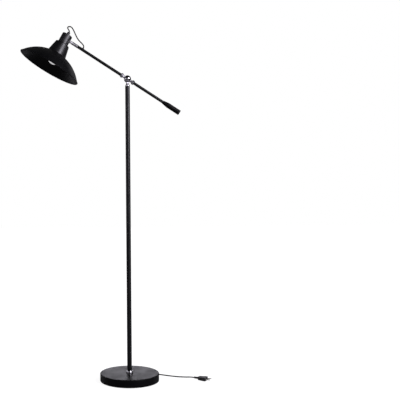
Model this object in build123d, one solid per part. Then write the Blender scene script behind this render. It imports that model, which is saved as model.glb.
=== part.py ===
from build123d import *
import math
import os

# Adjustable arm floor lamp, in millimetres. +Z is up and the origin is on the floor under the pole.
# The arm lies in the XZ plane, with the shade towards -X and its balance weight towards +X.

# Fits
SEAT_GAP = 0.05
RUN_GAP = 0.05
CABLE_GAP = 0.3
FACE_GAP = 0.1
SAGITTA_GAP = 0.3

# Cable, the same round flex all through the lamp
CABLE_D = 5.0

# Base
BASE_D = 250.0
BASE_H = 34.0
COVER_T = 1.2
COVER_EDGE_R = 3.0
COVER_LIFT = 1.5
FOOT_D = 18.0
FOOT_H = 2.0
FOOT_PCD = 200.0
FOOT_COUNT = 4
PLATE_T = 1.5
PLATE_GAP = 0.5
PLATE_SCREW_D = 3.8
PLATE_SCREW_HEAD_D = 6.8
PLATE_SCREW_HEAD_H = 1.3
PLATE_SCREW_DEPTH = 9.0
PLATE_SCREW_PCD = 176.0
PLATE_SCREW_COUNT = 3
PLATE_SCREW_TURN = 30.0
WEIGHT_T = 16.0
WEIGHT_GAP = 3.0
BOSS_D = 72.0
POCKET_D = 44.0
POCKET_ROOF = 6.8
SLOT_W = 12.0
STUD_D = 10.0
STUD_TAIL = 1.5
STUD_ENGAGE = 30.0
BASE_WASHER_D = 30.0
BASE_WASHER_T = 2.0
BASE_NUT_FLATS = 16.0
BASE_NUT_T = 5.0
FOOT_COLLAR_D = 29.0
FOOT_COLLAR_TOP_D = 23.0
FOOT_COLLAR_H = 9.0
FOOT_COLLAR_RIM = 4.0
CABLE_BEND_R = 10.0
CABLE_EASE_R = 40.0
CABLE_RAMP_OUT = 42.0
CABLE_RAMP_RUN = 30.0

# Cord outlet in the base wall, and the clamp behind it
GLAND_AZ = 102.1
GLAND_BODY_D = 10.0
GLAND_LIP_D = 11.4
GLAND_LIP_L = 3.5
GLAND_FLANGE_D = 14.0
GLAND_FLANGE_T = 3.0
GLAND_NOSE_D = 8.0
GLAND_NOSE_L = 14.0
CLAMP_INSET = 19.0
CLAMP_L = 34.0
CLAMP_W = 10.0
CLAMP_T = 3.0
CLAMP_SCREW_D = 4.0
CLAMP_SCREW_HEAD_D = 7.0
CLAMP_SCREW_HEAD_H = 2.4
CLAMP_SCREW_DEPTH = 9.0
CLAMP_SCREW_SPACING = 24.0

# Pole, in screwed sections
POLE_D = 20.0
POLE_WALL = 1.2
POLE_SECTION_L = 404.3
POLE_CHAMFER = 0.4
COUPLING_L = 50.0
COUPLING_D = 17.5
COUPLING_BORE_D = 11.0
FOOT_PLUG_L = 36.0
BUSH_L = 30.0

# Ball knuckle on the pole
NECK_H = 31.0
BALL_D = 32.0
SWIVEL_PIN_D = 10.0
SWIVEL_WASHER_D = 19.2
SWIVEL_WASHER_T = 0.8
RETAINER_T = 4.0
RETAINER_FLATS = 12.6
NECK_RIM_H = 2.5
NECK_WAIST_D = 10.4
NECK_WAIST_L = 1.0
FORK_SLOT = 14.0
FORK_BORE_R = 12.5
BRIDGE_HALF_DEG = 20.0
BRIDGE_ROOT = 14.8
HUB_T = 12.4
HUB_R = 12.0
HUB_CUT_HALF_DEG = 68.0
GROOVE_W = 6.0
GROOVE_R = 8.0
GROOVE_SPAN_DEG = 150.0
FRICTION_WASHER_D = 22.0
FRICTION_WASHER_T = 0.7
PIVOT_D = 6.0
PIVOT_HEAD_D = 11.0
PIVOT_HEAD_SEAT = 12.5
PIVOT_SOCKET_FLATS = 4.0
PIVOT_SOCKET_DEPTH = 1.8
PIVOT_THREAD_L = 1.6
NUT_SLOT_W = 1.6
NUT_SLOT_DEPTH = 1.0

# Arm, measured along its axis from the ball's centre
ARM_ANGLE = 33.0
ARM_D = 12.6
ARM_WALL = 1.1
COLLAR_START = 24.2
COLLAR_L = 8.6
COLLAR_D = 19.5
COLLAR_EDGE_R = 1.6
COLLAR_SHOULDER = 3.2
NECK_FLARE_D = 18.6
SPIGOT_D = 10.2
SPIGOT_END = 48.0
COUNTERWEIGHT_START = 182.0
COUNTERWEIGHT_END = 267.0
COUNTERWEIGHT_D = 22.0
COUNTERWEIGHT_NOSE_D = 14.2
COUNTERWEIGHT_TAPER_L = 24.0
COUNTERWEIGHT_EDGE_R = 1.0
COUNTERWEIGHT_BORE_L = 45.0
CABLE_ENTRY_BACK = 23.0
GROMMET_D = 8.4
GROMMET_BODY_D = 6.8
GROMMET_RISE = 1.5
CABLE_ENTRY_BEND_R = 5.0

# Hinge between the arm's tip and the socket cap
HINGE_REACH = 282.0
TIP_D = 13.4
TIP_L = 29.4
TIP_SPIGOT_L = 16.0
TIP_SLOT = 5.2
TIP_SLOT_BACK = 8.0
TIP_FACE = 5.0
TIP_FACE_D = 9.2
LUG_T = 4.0
LUG_R = 5.5
LUG_H = 9.0
LUG_FLANGE_D = 13.0
LUG_FLANGE_T = 2.6
LUG_SPIGOT_D = 9.8
LUG_SPIGOT_L = 6.0
LUG_NUT_FLATS = 13.0
LUG_NUT_T = 2.6
HINGE_SCREW_D = 5.0
HINGE_HEAD_D = 8.4
HINGE_HEAD_H = 1.6
HINGE_NUT_FLATS = 7.6
HINGE_NUT_T = 2.2
HINGE_SLOT_W = 1.2
HINGE_SLOT_DEPTH = 0.8
HINGE_WASHER_D = 10.4
HINGE_WASHER_T = 0.5

# Head, measured along its axis from the rim of the shade
HEAD_TILT = 29.6
HINGE_X = 33.0
HINGE_Z = 141.4
SHADE_D = 276.4
SHADE_WALL = 0.9
BOWL_H = 66.9
BOWL_ARC_R = 165.0
RIM_BEAD_D = 3.0
NECK_LOW_D = 83.5
NECK_TOP_D = 61.4
NECK_TOP_Z = 118.6
SHOULDER_R = 3.5
SHADE_HOLE_D = 40.6
CAP_D = 45.0
CAP_WALL = 1.2
CAP_TOP_Z = 162.4
CAP_EDGE_R = 2.5
HOLDER_SKIRT_D = 39.6
HOLDER_MOUTH_Z = 94.4
HOLDER_FLANGE_T = 2.5
HOLDER_FLANGE_D = 42.0
HOLDER_BODY_D = 32.0
HOLDER_CAVITY_D = 28.4
HOLDER_CAVITY_TOP = 132.4
HOLDER_BOSS_D = 18.0
HOLDER_BODY_TOP = 152.4
RING_D = 50.0
RING_H = 6.2
SHELL_T = 0.5
SHELL_LOW_Z = 97.4
SHELL_TOP_Z = 123.4
CONTACT_D = 9.0
CONTACT_T = 0.8
NIPPLE_D = 10.0
NIPPLE_LOW_Z = 144.4
NIPPLE_TOP_Z = 169.4
CABLE_GLAND_D = 13.0
CABLE_GLAND_H = 14.0
CABLE_GLAND_DOME = 5.0
CABLE_GLAND_TIP_D = 8.0

# Bulb, a common globe shape on a 27 mm screw cap
BULB_D = 60.0
BULB_WALL = 1.0
BULB_LEAVE_DEG = 38.0
BULB_CENTRE_Z = 50.0
BULB_NECK_D = 27.0
BULB_NECK_Z = 93.4
BULB_CAP_D = 26.4
BULB_CAP_TOP_Z = 119.4
BULB_TIP_D = 9.0
BULB_TIP_BASE_D = 15.0
BULB_TIP_Z = 127.4

# Loop cable from the head to the arm: hand-chosen points as X and Z from the ball's centre
LOOP_STRAIGHT = 6.0
LOOP_ENTRY_STRAIGHT = 4.0
LOOP_POINTS = [
    (-247.3, 217.2),
    (-243.3, 223.4),
    (-236.0, 225.0),
    (-229.8, 220.4),
    (-227.4, 208.6),
    (-222.4, 195.6),
    (-217.0, 182.8),
    (-210.6, 170.6),
    (-202.8, 160.2),
    (-194.0, 151.6),
    (-185.9, 142.2),
]

# Mains cord on the floor
COIL_X = 12.0
COIL_Y = 176.1
COIL_OUTER_R = 38.0
COIL_PITCH = 5.6
COIL_START_DEG = 158.0
COIL_TURNS = 8
QUARTERS_PER_LAYER = 16
GAP_POINTS_PER_ARC = 6
COIL_HEADING = -54.0
CORD_END_STRAIGHT = 5.0
COIL_END_STRAIGHT = 22.0
LEAD_STRAIGHT = 10.3
LEAD_POINTS = [
    (-32.5, 158.7, 13.5),
    (-31.7, 166.8, 7.1),
]
TAIL_STRAIGHT = 13.0
TAIL_POINTS = [
    (110.6, 109.6, 5.9),
    (121.0, 97.2, 2.6),
    (156.4, 75.0, 2.6),
    (206.5, 45.6, 2.6),
    (242.2, 22.6, 3.9),
]
PLUG_STRAIGHT = 14.0
TIE_AT_DEG = 263.0
TIE_W = 6.0
TIE_T = 0.8
TIE_GAP = 0.3

# In-line switch
SWITCH_L = 62.0
SWITCH_W = 24.0
SWITCH_H = 16.0
SWITCH_LIFT = 0.1
SWITCH_WALL = 1.6
SWITCH_CORNER_R = 9.0
SWITCH_EDGE_R = 2.0
ROCKER_L = 18.0
ROCKER_W = 10.4
ROCKER_H = 6.0
ROCKER_GAP = 0.5
ROCKER_TILT = 7.0
ROCKER_PROUD = 0.8
ROCKER_PIN_D = 2.0
ROCKER_PIN_L = 2.0
ROCKER_PIN_Z = 12.0
ROCKER_TIP_CLEAR = 1.4
RIB_T = 2.2
RIB_DROP = 2.4

# Two-pin plug
PLUG_AT_X = 276.5
PLUG_AT_Y = 2.3
PLUG_HEADING = -31.4
PLUG_L = 36.0
PLUG_W = 35.0
PLUG_BACK_W = 16.0
PLUG_T = 13.7
PLUG_EDGE_R = 2.5
PLUG_SLEEVE_L = 20.0
PLUG_SLEEVE_D = 8.4
PLUG_SLEEVE_TIP_D = 6.6
PLUG_LIFT = 0.1
PIN_D = 4.0
PIN_L = 19.0
PIN_SPACING = 18.6
PIN_SEAT = 10.0

# Worked out from the sizes above
CABLE_R = CABLE_D / 2
CABLE_BORE_R = CABLE_R + CABLE_GAP
BASE_R = BASE_D / 2
COVER_INNER_R = BASE_R - COVER_T
COVER_UNDER = BASE_H - COVER_T
PLATE_TOP = FOOT_H + PLATE_T
PLATE_R = BASE_R - COVER_EDGE_R - PLATE_GAP
WEIGHT_TOP = PLATE_TOP + WEIGHT_T
WEIGHT_R = BASE_R - COVER_EDGE_R - WEIGHT_GAP
POCKET_TOP = COVER_UNDER - POCKET_ROOF
STUD_R = STUD_D / 2
STUD_BOTTOM = POCKET_TOP - BASE_WASHER_T - BASE_NUT_T - STUD_TAIL
POLE_BOTTOM = BASE_H + FOOT_COLLAR_H
STUD_TOP = POLE_BOTTOM + STUD_ENGAGE
POLE_R = POLE_D / 2
POLE_BORE_R = POLE_R - POLE_WALL
POLE_JOINTS = [POLE_BOTTOM + POLE_SECTION_L, POLE_BOTTOM + 2 * POLE_SECTION_L]
POLE_TOP = POLE_BOTTOM + 3 * POLE_SECTION_L
BALL_Z = POLE_TOP + NECK_H
BALL_R = BALL_D / 2
SLOT_CABLE_Z = PLATE_TOP + CABLE_GAP + CABLE_R
GLAND_Z = WEIGHT_TOP - CABLE_R - FACE_GAP
GLAND_END = BASE_R + GLAND_FLANGE_T + GLAND_NOSE_L
CLAMP_AT = WEIGHT_R - CLAMP_INSET
GLAND_FRAME = Rot(0, 0, GLAND_AZ) * Pos(0, 0, GLAND_Z) * Rot(0, 90, 0)
ARM_R = ARM_D / 2
FRONT_TUBE_END = HINGE_REACH - TIP_L
CABLE_ENTRY = FRONT_TUBE_END - CABLE_ENTRY_BACK
ARM_BORE_R = ARM_R - ARM_WALL
ARM_FRAME = Pos(0, 0, BALL_Z) * Rot(0, ARM_ANGLE - 90, 0)
ARM_DIR = Vector(-math.cos(math.radians(ARM_ANGLE)), 0, math.sin(math.radians(ARM_ANGLE)))
ARM_UP = Vector(math.sin(math.radians(ARM_ANGLE)), 0, math.cos(math.radians(ARM_ANGLE)))
BALL = Vector(0, 0, BALL_Z)
HINGE = BALL + ARM_DIR * HINGE_REACH
HEAD_AXIS = Vector(math.sin(math.radians(HEAD_TILT)), 0, math.cos(math.radians(HEAD_TILT)))
HEAD_SIDE = Vector(math.cos(math.radians(HEAD_TILT)), 0, -math.sin(math.radians(HEAD_TILT)))
HEAD_ORIGIN = HINGE - HEAD_SIDE * HINGE_X - HEAD_AXIS * HINGE_Z
HEAD_FRAME = Pos(HEAD_ORIGIN.X, 0, HEAD_ORIGIN.Z) * Rot(0, HEAD_TILT, 0)
CAP_R = CAP_D / 2
GROMMET_TOP = ARM_R + GROMMET_RISE
PLUG_DIR = Vector(math.cos(math.radians(PLUG_HEADING)), math.sin(math.radians(PLUG_HEADING)), 0)
COIL_LIFT = TIE_T + TIE_GAP + FACE_GAP
COIL_LOW_Z = COIL_LIFT + CABLE_R
COIL_HIGH_Z = COIL_LOW_Z + COIL_PITCH
SWITCH_SPLIT_Z = COIL_HIGH_Z - SWITCH_LIFT
PLUG_MID_Z = PLUG_LIFT + PLUG_T / 2


def rod(radius, low, high):
    """A round bar about Z, from low to high."""
    return Pos(0, 0, (low + high) / 2) * Cylinder(radius, high - low)


def tube(radius, bore, low, high):
    """A round tube about Z, from low to high."""
    return rod(radius, low, high) - rod(bore, low, high)


def hexagon(flats, low, high):
    """A hexagonal prism about Z, as wide as flats across its flats."""
    corner = flats / math.sqrt(3)
    return Pos(0, 0, low) * extrude(RegularPolygon(corner, 6), high - low)


def along_y(shape):
    """Turns a shape made about Z to lie about Y, with its +Z end towards +Y."""
    return Rot(-90, 0, 0) * shape


def along_x(shape):
    """Turns a shape made about Z to lie about X, with its +Z end towards +X."""
    return Rot(0, 90, 0) * shape


def turned(edges):
    """Turns a closed outline of radius and height about Z."""
    return revolve(Plane.XZ * make_face(edges), Axis.Z)


def turned_points(*points):
    """Turns a closed outline of straight lines about Z."""
    return turned(Polyline(*points, close=True))


def corner_arc(centre, radius, start, end):
    """An arc about a centre, from one angle in degrees to another."""
    angles = [math.radians(a) for a in (start, (start + end) / 2, end)]
    points = [(centre[0] + radius * math.cos(a), centre[1] + radius * math.sin(a)) for a in angles]
    return ThreePointArc(*points)


def sector(start, end, reach, width):
    """A prism about Y between two angles, counted in degrees from +Z towards +X."""
    steps = max(2, math.ceil((end - start) / 45))
    angles = [math.radians(start + (end - start) * i / steps) for i in range(steps + 1)]
    points = [(0, 0)] + [(reach * math.sin(a), reach * math.cos(a)) for a in angles]
    face = Plane.XZ * make_face(Polyline(*points, close=True))
    return extrude(face, amount=width / 2, both=True)


def around(count, pcd, turn, shape):
    """Copies of a shape evenly round a circle about Z."""
    spots = [Rot(0, 0, turn + 360 * i / count) * Pos(pcd / 2, 0, 0) for i in range(count)]
    return [spot * shape for spot in spots]


def bend_radii(points):
    """The largest fillet that each corner of a route leaves room for."""
    radii = []
    for before, here, after in zip(points, points[1:], points[2:]):
        run_in, run_out = here - before, after - here
        half_turn = math.radians(run_in.get_angle(run_out)) / 2
        radii.append(0.45 * min(run_in.length, run_out.length) / math.tan(half_turn))
    return radii


def flex(name, points, radii=None):
    """A round cable along a route of straight runs joined by tangent arcs."""
    route = [Vector(*p) for p in points]
    bends = radii or bend_radii(route)
    path = FilletPolyline(*route, radius=bends)
    start = Plane(route[0], z_dir=route[1] - route[0])
    cable = sweep(start * Circle(CABLE_R), path=path)
    share = cable.volume / (math.pi * CABLE_R**2 * path.length)
    print(f"{name}: length {path.length:.1f}, volume share {share:.4f}, radii", [round(b, 1) for b in bends])
    return cable


def base_parts():
    """The round foot: cover, weight, bottom plate and what holds them and the cord."""
    edge = COVER_EDGE_R
    inner = edge - COVER_T
    high = (BASE_R - edge, BASE_H - edge)
    low = (BASE_R - edge, COVER_LIFT + edge)
    hole_r = STUD_R + CABLE_GAP
    cover = turned(
        [
            Line((hole_r, BASE_H), (BASE_R - edge, BASE_H)),
            corner_arc(high, edge, 90, 0),
            Line((BASE_R, BASE_H - edge), (BASE_R, COVER_LIFT + edge)),
            corner_arc(low, edge, 0, -90),
            Line((BASE_R - edge, COVER_LIFT), (BASE_R - edge, COVER_LIFT + COVER_T)),
            corner_arc(low, inner, -90, 0),
            Line((COVER_INNER_R, COVER_LIFT + edge), (COVER_INNER_R, BASE_H - edge)),
            corner_arc(high, inner, 0, 90),
            Line((BASE_R - edge, COVER_UNDER), (hole_r, COVER_UNDER)),
            Line((hole_r, COVER_UNDER), (hole_r, BASE_H)),
        ]
    )
    outlet = rod(GLAND_BODY_D / 2 + SEAT_GAP, WEIGHT_R, GLAND_END)
    cover -= GLAND_FRAME * outlet

    plate_hole = rod(PLATE_SCREW_D / 2 + SEAT_GAP, FOOT_H, PLATE_TOP + PLATE_SCREW_DEPTH)
    plate_holes = Compound(children=around(PLATE_SCREW_COUNT, PLATE_SCREW_PCD, PLATE_SCREW_TURN, plate_hole))
    clamp_hole = rod(CLAMP_SCREW_D / 2 + SEAT_GAP, WEIGHT_TOP - CLAMP_SCREW_DEPTH, WEIGHT_TOP + CLAMP_T)
    clamp_spots = [Rot(0, 0, GLAND_AZ) * Pos(CLAMP_AT, side * CLAMP_SCREW_SPACING / 2, 0) for side in (-1, 1)]

    weight = rod(WEIGHT_R, PLATE_TOP, WEIGHT_TOP) + rod(BOSS_D / 2, PLATE_TOP, COVER_UNDER)
    weight -= rod(POCKET_D / 2, PLATE_TOP, POCKET_TOP)
    weight -= rod(STUD_R + SEAT_GAP, PLATE_TOP, COVER_UNDER)
    slot = Box(WEIGHT_R + WEIGHT_GAP, SLOT_W, WEIGHT_T, align=(Align.MIN, Align.CENTER, Align.MIN))
    weight -= Rot(0, 0, GLAND_AZ) * Pos(0, 0, PLATE_TOP) * slot
    weight -= plate_holes
    plate = rod(PLATE_R, FOOT_H, PLATE_TOP) - plate_holes
    for spot in clamp_spots:
        weight -= spot * clamp_hole

    foot = rod(FOOT_D / 2, 0, FOOT_H)
    screw = rod(PLATE_SCREW_D / 2, FOOT_H, PLATE_TOP + PLATE_SCREW_DEPTH - FACE_GAP)
    screw += rod(PLATE_SCREW_HEAD_D / 2, FOOT_H - PLATE_SCREW_HEAD_H, FOOT_H)
    screws = around(PLATE_SCREW_COUNT, PLATE_SCREW_PCD, PLATE_SCREW_TURN, screw)

    clamp_bar = Box(CLAMP_W, CLAMP_L, CLAMP_T, align=(Align.CENTER, Align.CENTER, Align.MIN))
    clamp = Rot(0, 0, GLAND_AZ) * Pos(CLAMP_AT, 0, WEIGHT_TOP) * clamp_bar
    for spot in clamp_spots:
        clamp -= spot * clamp_hole
    clamp_top = WEIGHT_TOP + CLAMP_T
    clamp_screw = rod(CLAMP_SCREW_D / 2, WEIGHT_TOP - CLAMP_SCREW_DEPTH + FACE_GAP, clamp_top)
    clamp_screw += rod(CLAMP_SCREW_HEAD_D / 2, clamp_top, clamp_top + CLAMP_SCREW_HEAD_H)

    lip_back = COVER_INNER_R - SAGITTA_GAP - GLAND_LIP_L
    lip_front = COVER_INNER_R - SAGITTA_GAP
    gland = turned_points(
        (CABLE_BORE_R, lip_back),
        (GLAND_BODY_D / 2, lip_back),
        (GLAND_LIP_D / 2, lip_front),
        (GLAND_BODY_D / 2, lip_front),
        (GLAND_BODY_D / 2, BASE_R),
        (GLAND_FLANGE_D / 2, BASE_R),
        (GLAND_FLANGE_D / 2, BASE_R + GLAND_FLANGE_T),
        (GLAND_NOSE_D / 2, GLAND_END),
        (CABLE_BORE_R, GLAND_END),
    )

    washer_low = POCKET_TOP - BASE_WASHER_T
    nut = hexagon(BASE_NUT_FLATS, washer_low - BASE_NUT_T, washer_low)
    collar_r = FOOT_COLLAR_D / 2
    collar_top_r = FOOT_COLLAR_TOP_D / 2
    rim_top = (collar_r, BASE_H + FOOT_COLLAR_RIM)
    crown = (collar_top_r, POLE_BOTTOM)
    collar = turned(
        [
            Line((STUD_R + SEAT_GAP, BASE_H), (collar_r, BASE_H)),
            Line((collar_r, BASE_H), rim_top),
            TangentArc(rim_top, crown, tangent=(0, 1)),
            Line(crown, (STUD_R + SEAT_GAP, POLE_BOTTOM)),
            Line((STUD_R + SEAT_GAP, POLE_BOTTOM), (STUD_R + SEAT_GAP, BASE_H)),
        ]
    )
    return {
        "base_cover": cover,
        "base_weight": weight,
        "bottom_plate": plate,
        "plate_screws": Compound(children=screws),
        "rubber_feet": Compound(children=[foot, *around(FOOT_COUNT, FOOT_PCD, 180 / FOOT_COUNT, foot)]),
        "base_washer": tube(BASE_WASHER_D / 2, STUD_R + SEAT_GAP, washer_low, POCKET_TOP),
        "base_nut": nut - rod(STUD_R + SEAT_GAP, washer_low - BASE_NUT_T, washer_low),
        "base_stud": tube(STUD_R, CABLE_BORE_R, STUD_BOTTOM, STUD_TOP),
        "foot_collar": collar,
        "cord_gland": GLAND_FRAME * gland,
        "cord_clamp": clamp,
        "clamp_screws": Compound(children=[spot * clamp_screw for spot in clamp_spots]),
    }


def pole_section(low, high):
    """One tube of the pole, with its outer edges broken."""
    edge_r = POLE_R - POLE_CHAMFER
    return turned_points(
        (POLE_BORE_R, low),
        (edge_r, low),
        (POLE_R, low + POLE_CHAMFER),
        (POLE_R, high - POLE_CHAMFER),
        (edge_r, high),
        (POLE_BORE_R, high),
    )


def pole_parts():
    """The upright: three tube sections, what joins them, and the cable up the middle."""
    ends = [POLE_BOTTOM, *POLE_JOINTS, POLE_TOP]
    names = ["pole_lower", "pole_middle", "pole_upper"]
    parts = {name: pole_section(a, b) for name, a, b in zip(names, ends, ends[1:])}
    half = COUPLING_L / 2
    sleeves = [tube(COUPLING_D / 2, COUPLING_BORE_D / 2, z - half, z + half) for z in POLE_JOINTS]
    parts["pole_couplings"] = Compound(children=sleeves)
    plug_r = POLE_BORE_R - SEAT_GAP
    parts["pole_foot_plug"] = tube(plug_r, STUD_R + SEAT_GAP, POLE_BOTTOM, POLE_BOTTOM + FOOT_PLUG_L)
    parts["pole_top_bush"] = tube(plug_r, SWIVEL_PIN_D / 2 + RUN_GAP, POLE_TOP - BUSH_L, POLE_TOP)
    ramp_out = GLAND_END - CABLE_RAMP_OUT
    out = Vector(math.cos(math.radians(GLAND_AZ)), math.sin(math.radians(GLAND_AZ)), 0)
    route = [
        out * GLAND_END + Vector(0, 0, GLAND_Z),
        out * ramp_out + Vector(0, 0, GLAND_Z),
        out * (ramp_out - CABLE_RAMP_RUN) + Vector(0, 0, SLOT_CABLE_Z),
        Vector(0, 0, SLOT_CABLE_Z),
        Vector(0, 0, BALL_Z - FORK_BORE_R),
    ]
    parts["pole_cable"] = flex("pole_cable", route, [CABLE_EASE_R, CABLE_EASE_R, CABLE_BEND_R])
    return parts


def knuckle_parts():
    """The chrome ball joint: a fork that swivels on the pole, and the bolt that the arm tilts on."""
    neck_low = POLE_TOP + SWIVEL_WASHER_T + FACE_GAP - BALL_Z
    waist_r = NECK_WAIST_D / 2
    waist_z = -BALL_R - NECK_WAIST_L
    rim_z = neck_low + NECK_RIM_H
    neck = turned(
        [
            Line((0, neck_low), (POLE_R, neck_low)),
            Line((POLE_R, neck_low), (POLE_R, rim_z)),
            TangentArc((waist_r, waist_z), (POLE_R, rim_z), tangent=(0, -1)),
            Line((waist_r, waist_z), (waist_r, -BRIDGE_ROOT)),
            Line((waist_r, -BRIDGE_ROOT), (0, -BRIDGE_ROOT)),
            Line((0, -BRIDGE_ROOT), (0, neck_low)),
        ]
    )
    ball = Sphere(BALL_R)
    cheeks = ball - Box(BALL_D, FORK_SLOT, BALL_D)
    bridge = ball & sector(180 - BRIDGE_HALF_DEG, 180 + BRIDGE_HALF_DEG, BALL_D, FORK_SLOT)
    bridge -= along_y(rod(FORK_BORE_R, -FORK_SLOT, FORK_SLOT))
    pin_low = POLE_TOP - BUSH_L - FACE_GAP - RETAINER_T - BALL_Z
    fork = neck + cheeks + bridge + rod(SWIVEL_PIN_D / 2, pin_low, neck_low)
    fork -= rod(CABLE_BORE_R, pin_low, -BRIDGE_ROOT + BALL_R - FORK_BORE_R)
    fork -= along_y(rod(PIVOT_D / 2 + RUN_GAP, -BALL_R, BALL_R))
    head_r = PIVOT_HEAD_D / 2
    seat_r = head_r + SEAT_GAP
    for side in (rod(seat_r, -BALL_R, -PIVOT_HEAD_SEAT), rod(seat_r, PIVOT_HEAD_SEAT, BALL_R)):
        fork -= along_y(side)

    bolt_end = PIVOT_HEAD_SEAT + PIVOT_THREAD_L
    bolt = along_y(rod(head_r, -BALL_R, -PIVOT_HEAD_SEAT)) & ball
    bolt += along_y(rod(PIVOT_D / 2, -PIVOT_HEAD_SEAT, bolt_end))
    bolt -= along_y(hexagon(PIVOT_SOCKET_FLATS, -BALL_R, -BALL_R + PIVOT_SOCKET_DEPTH))
    nut = along_y(rod(head_r, PIVOT_HEAD_SEAT, BALL_R)) & ball
    nut -= along_y(rod(PIVOT_D / 2 + SEAT_GAP, PIVOT_HEAD_SEAT, bolt_end + FACE_GAP))
    slot = Box(BALL_D, NUT_SLOT_DEPTH, NUT_SLOT_W, align=(Align.CENTER, Align.MAX, Align.CENTER))
    nut -= Pos(0, BALL_R, 0) * slot

    washer_mid = (HUB_T + FORK_SLOT) / 4
    washer = tube(
        FRICTION_WASHER_D / 2,
        PIVOT_D / 2 + RUN_GAP,
        washer_mid - FRICTION_WASHER_T / 2,
        washer_mid + FRICTION_WASHER_T / 2,
    )
    washers = [along_y(washer), Rot(0, 0, 180) * along_y(washer)]
    retainer = hexagon(RETAINER_FLATS, pin_low, pin_low + RETAINER_T)
    retainer -= rod(SWIVEL_PIN_D / 2 + SEAT_GAP, pin_low, pin_low + RETAINER_T)
    at_ball = Pos(0, 0, BALL_Z)
    swivel_washer = tube(
        SWIVEL_WASHER_D / 2, SWIVEL_PIN_D / 2 + CABLE_GAP, POLE_TOP, POLE_TOP + SWIVEL_WASHER_T
    )
    return {
        "swivel_washer": swivel_washer,
        "swivel_fork": at_ball * fork,
        "swivel_retainer": at_ball * retainer,
        "pivot_bolt": at_ball * bolt,
        "pivot_nut": at_ball * nut,
        "friction_washers": at_ball * Compound(children=washers),
    }


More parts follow.
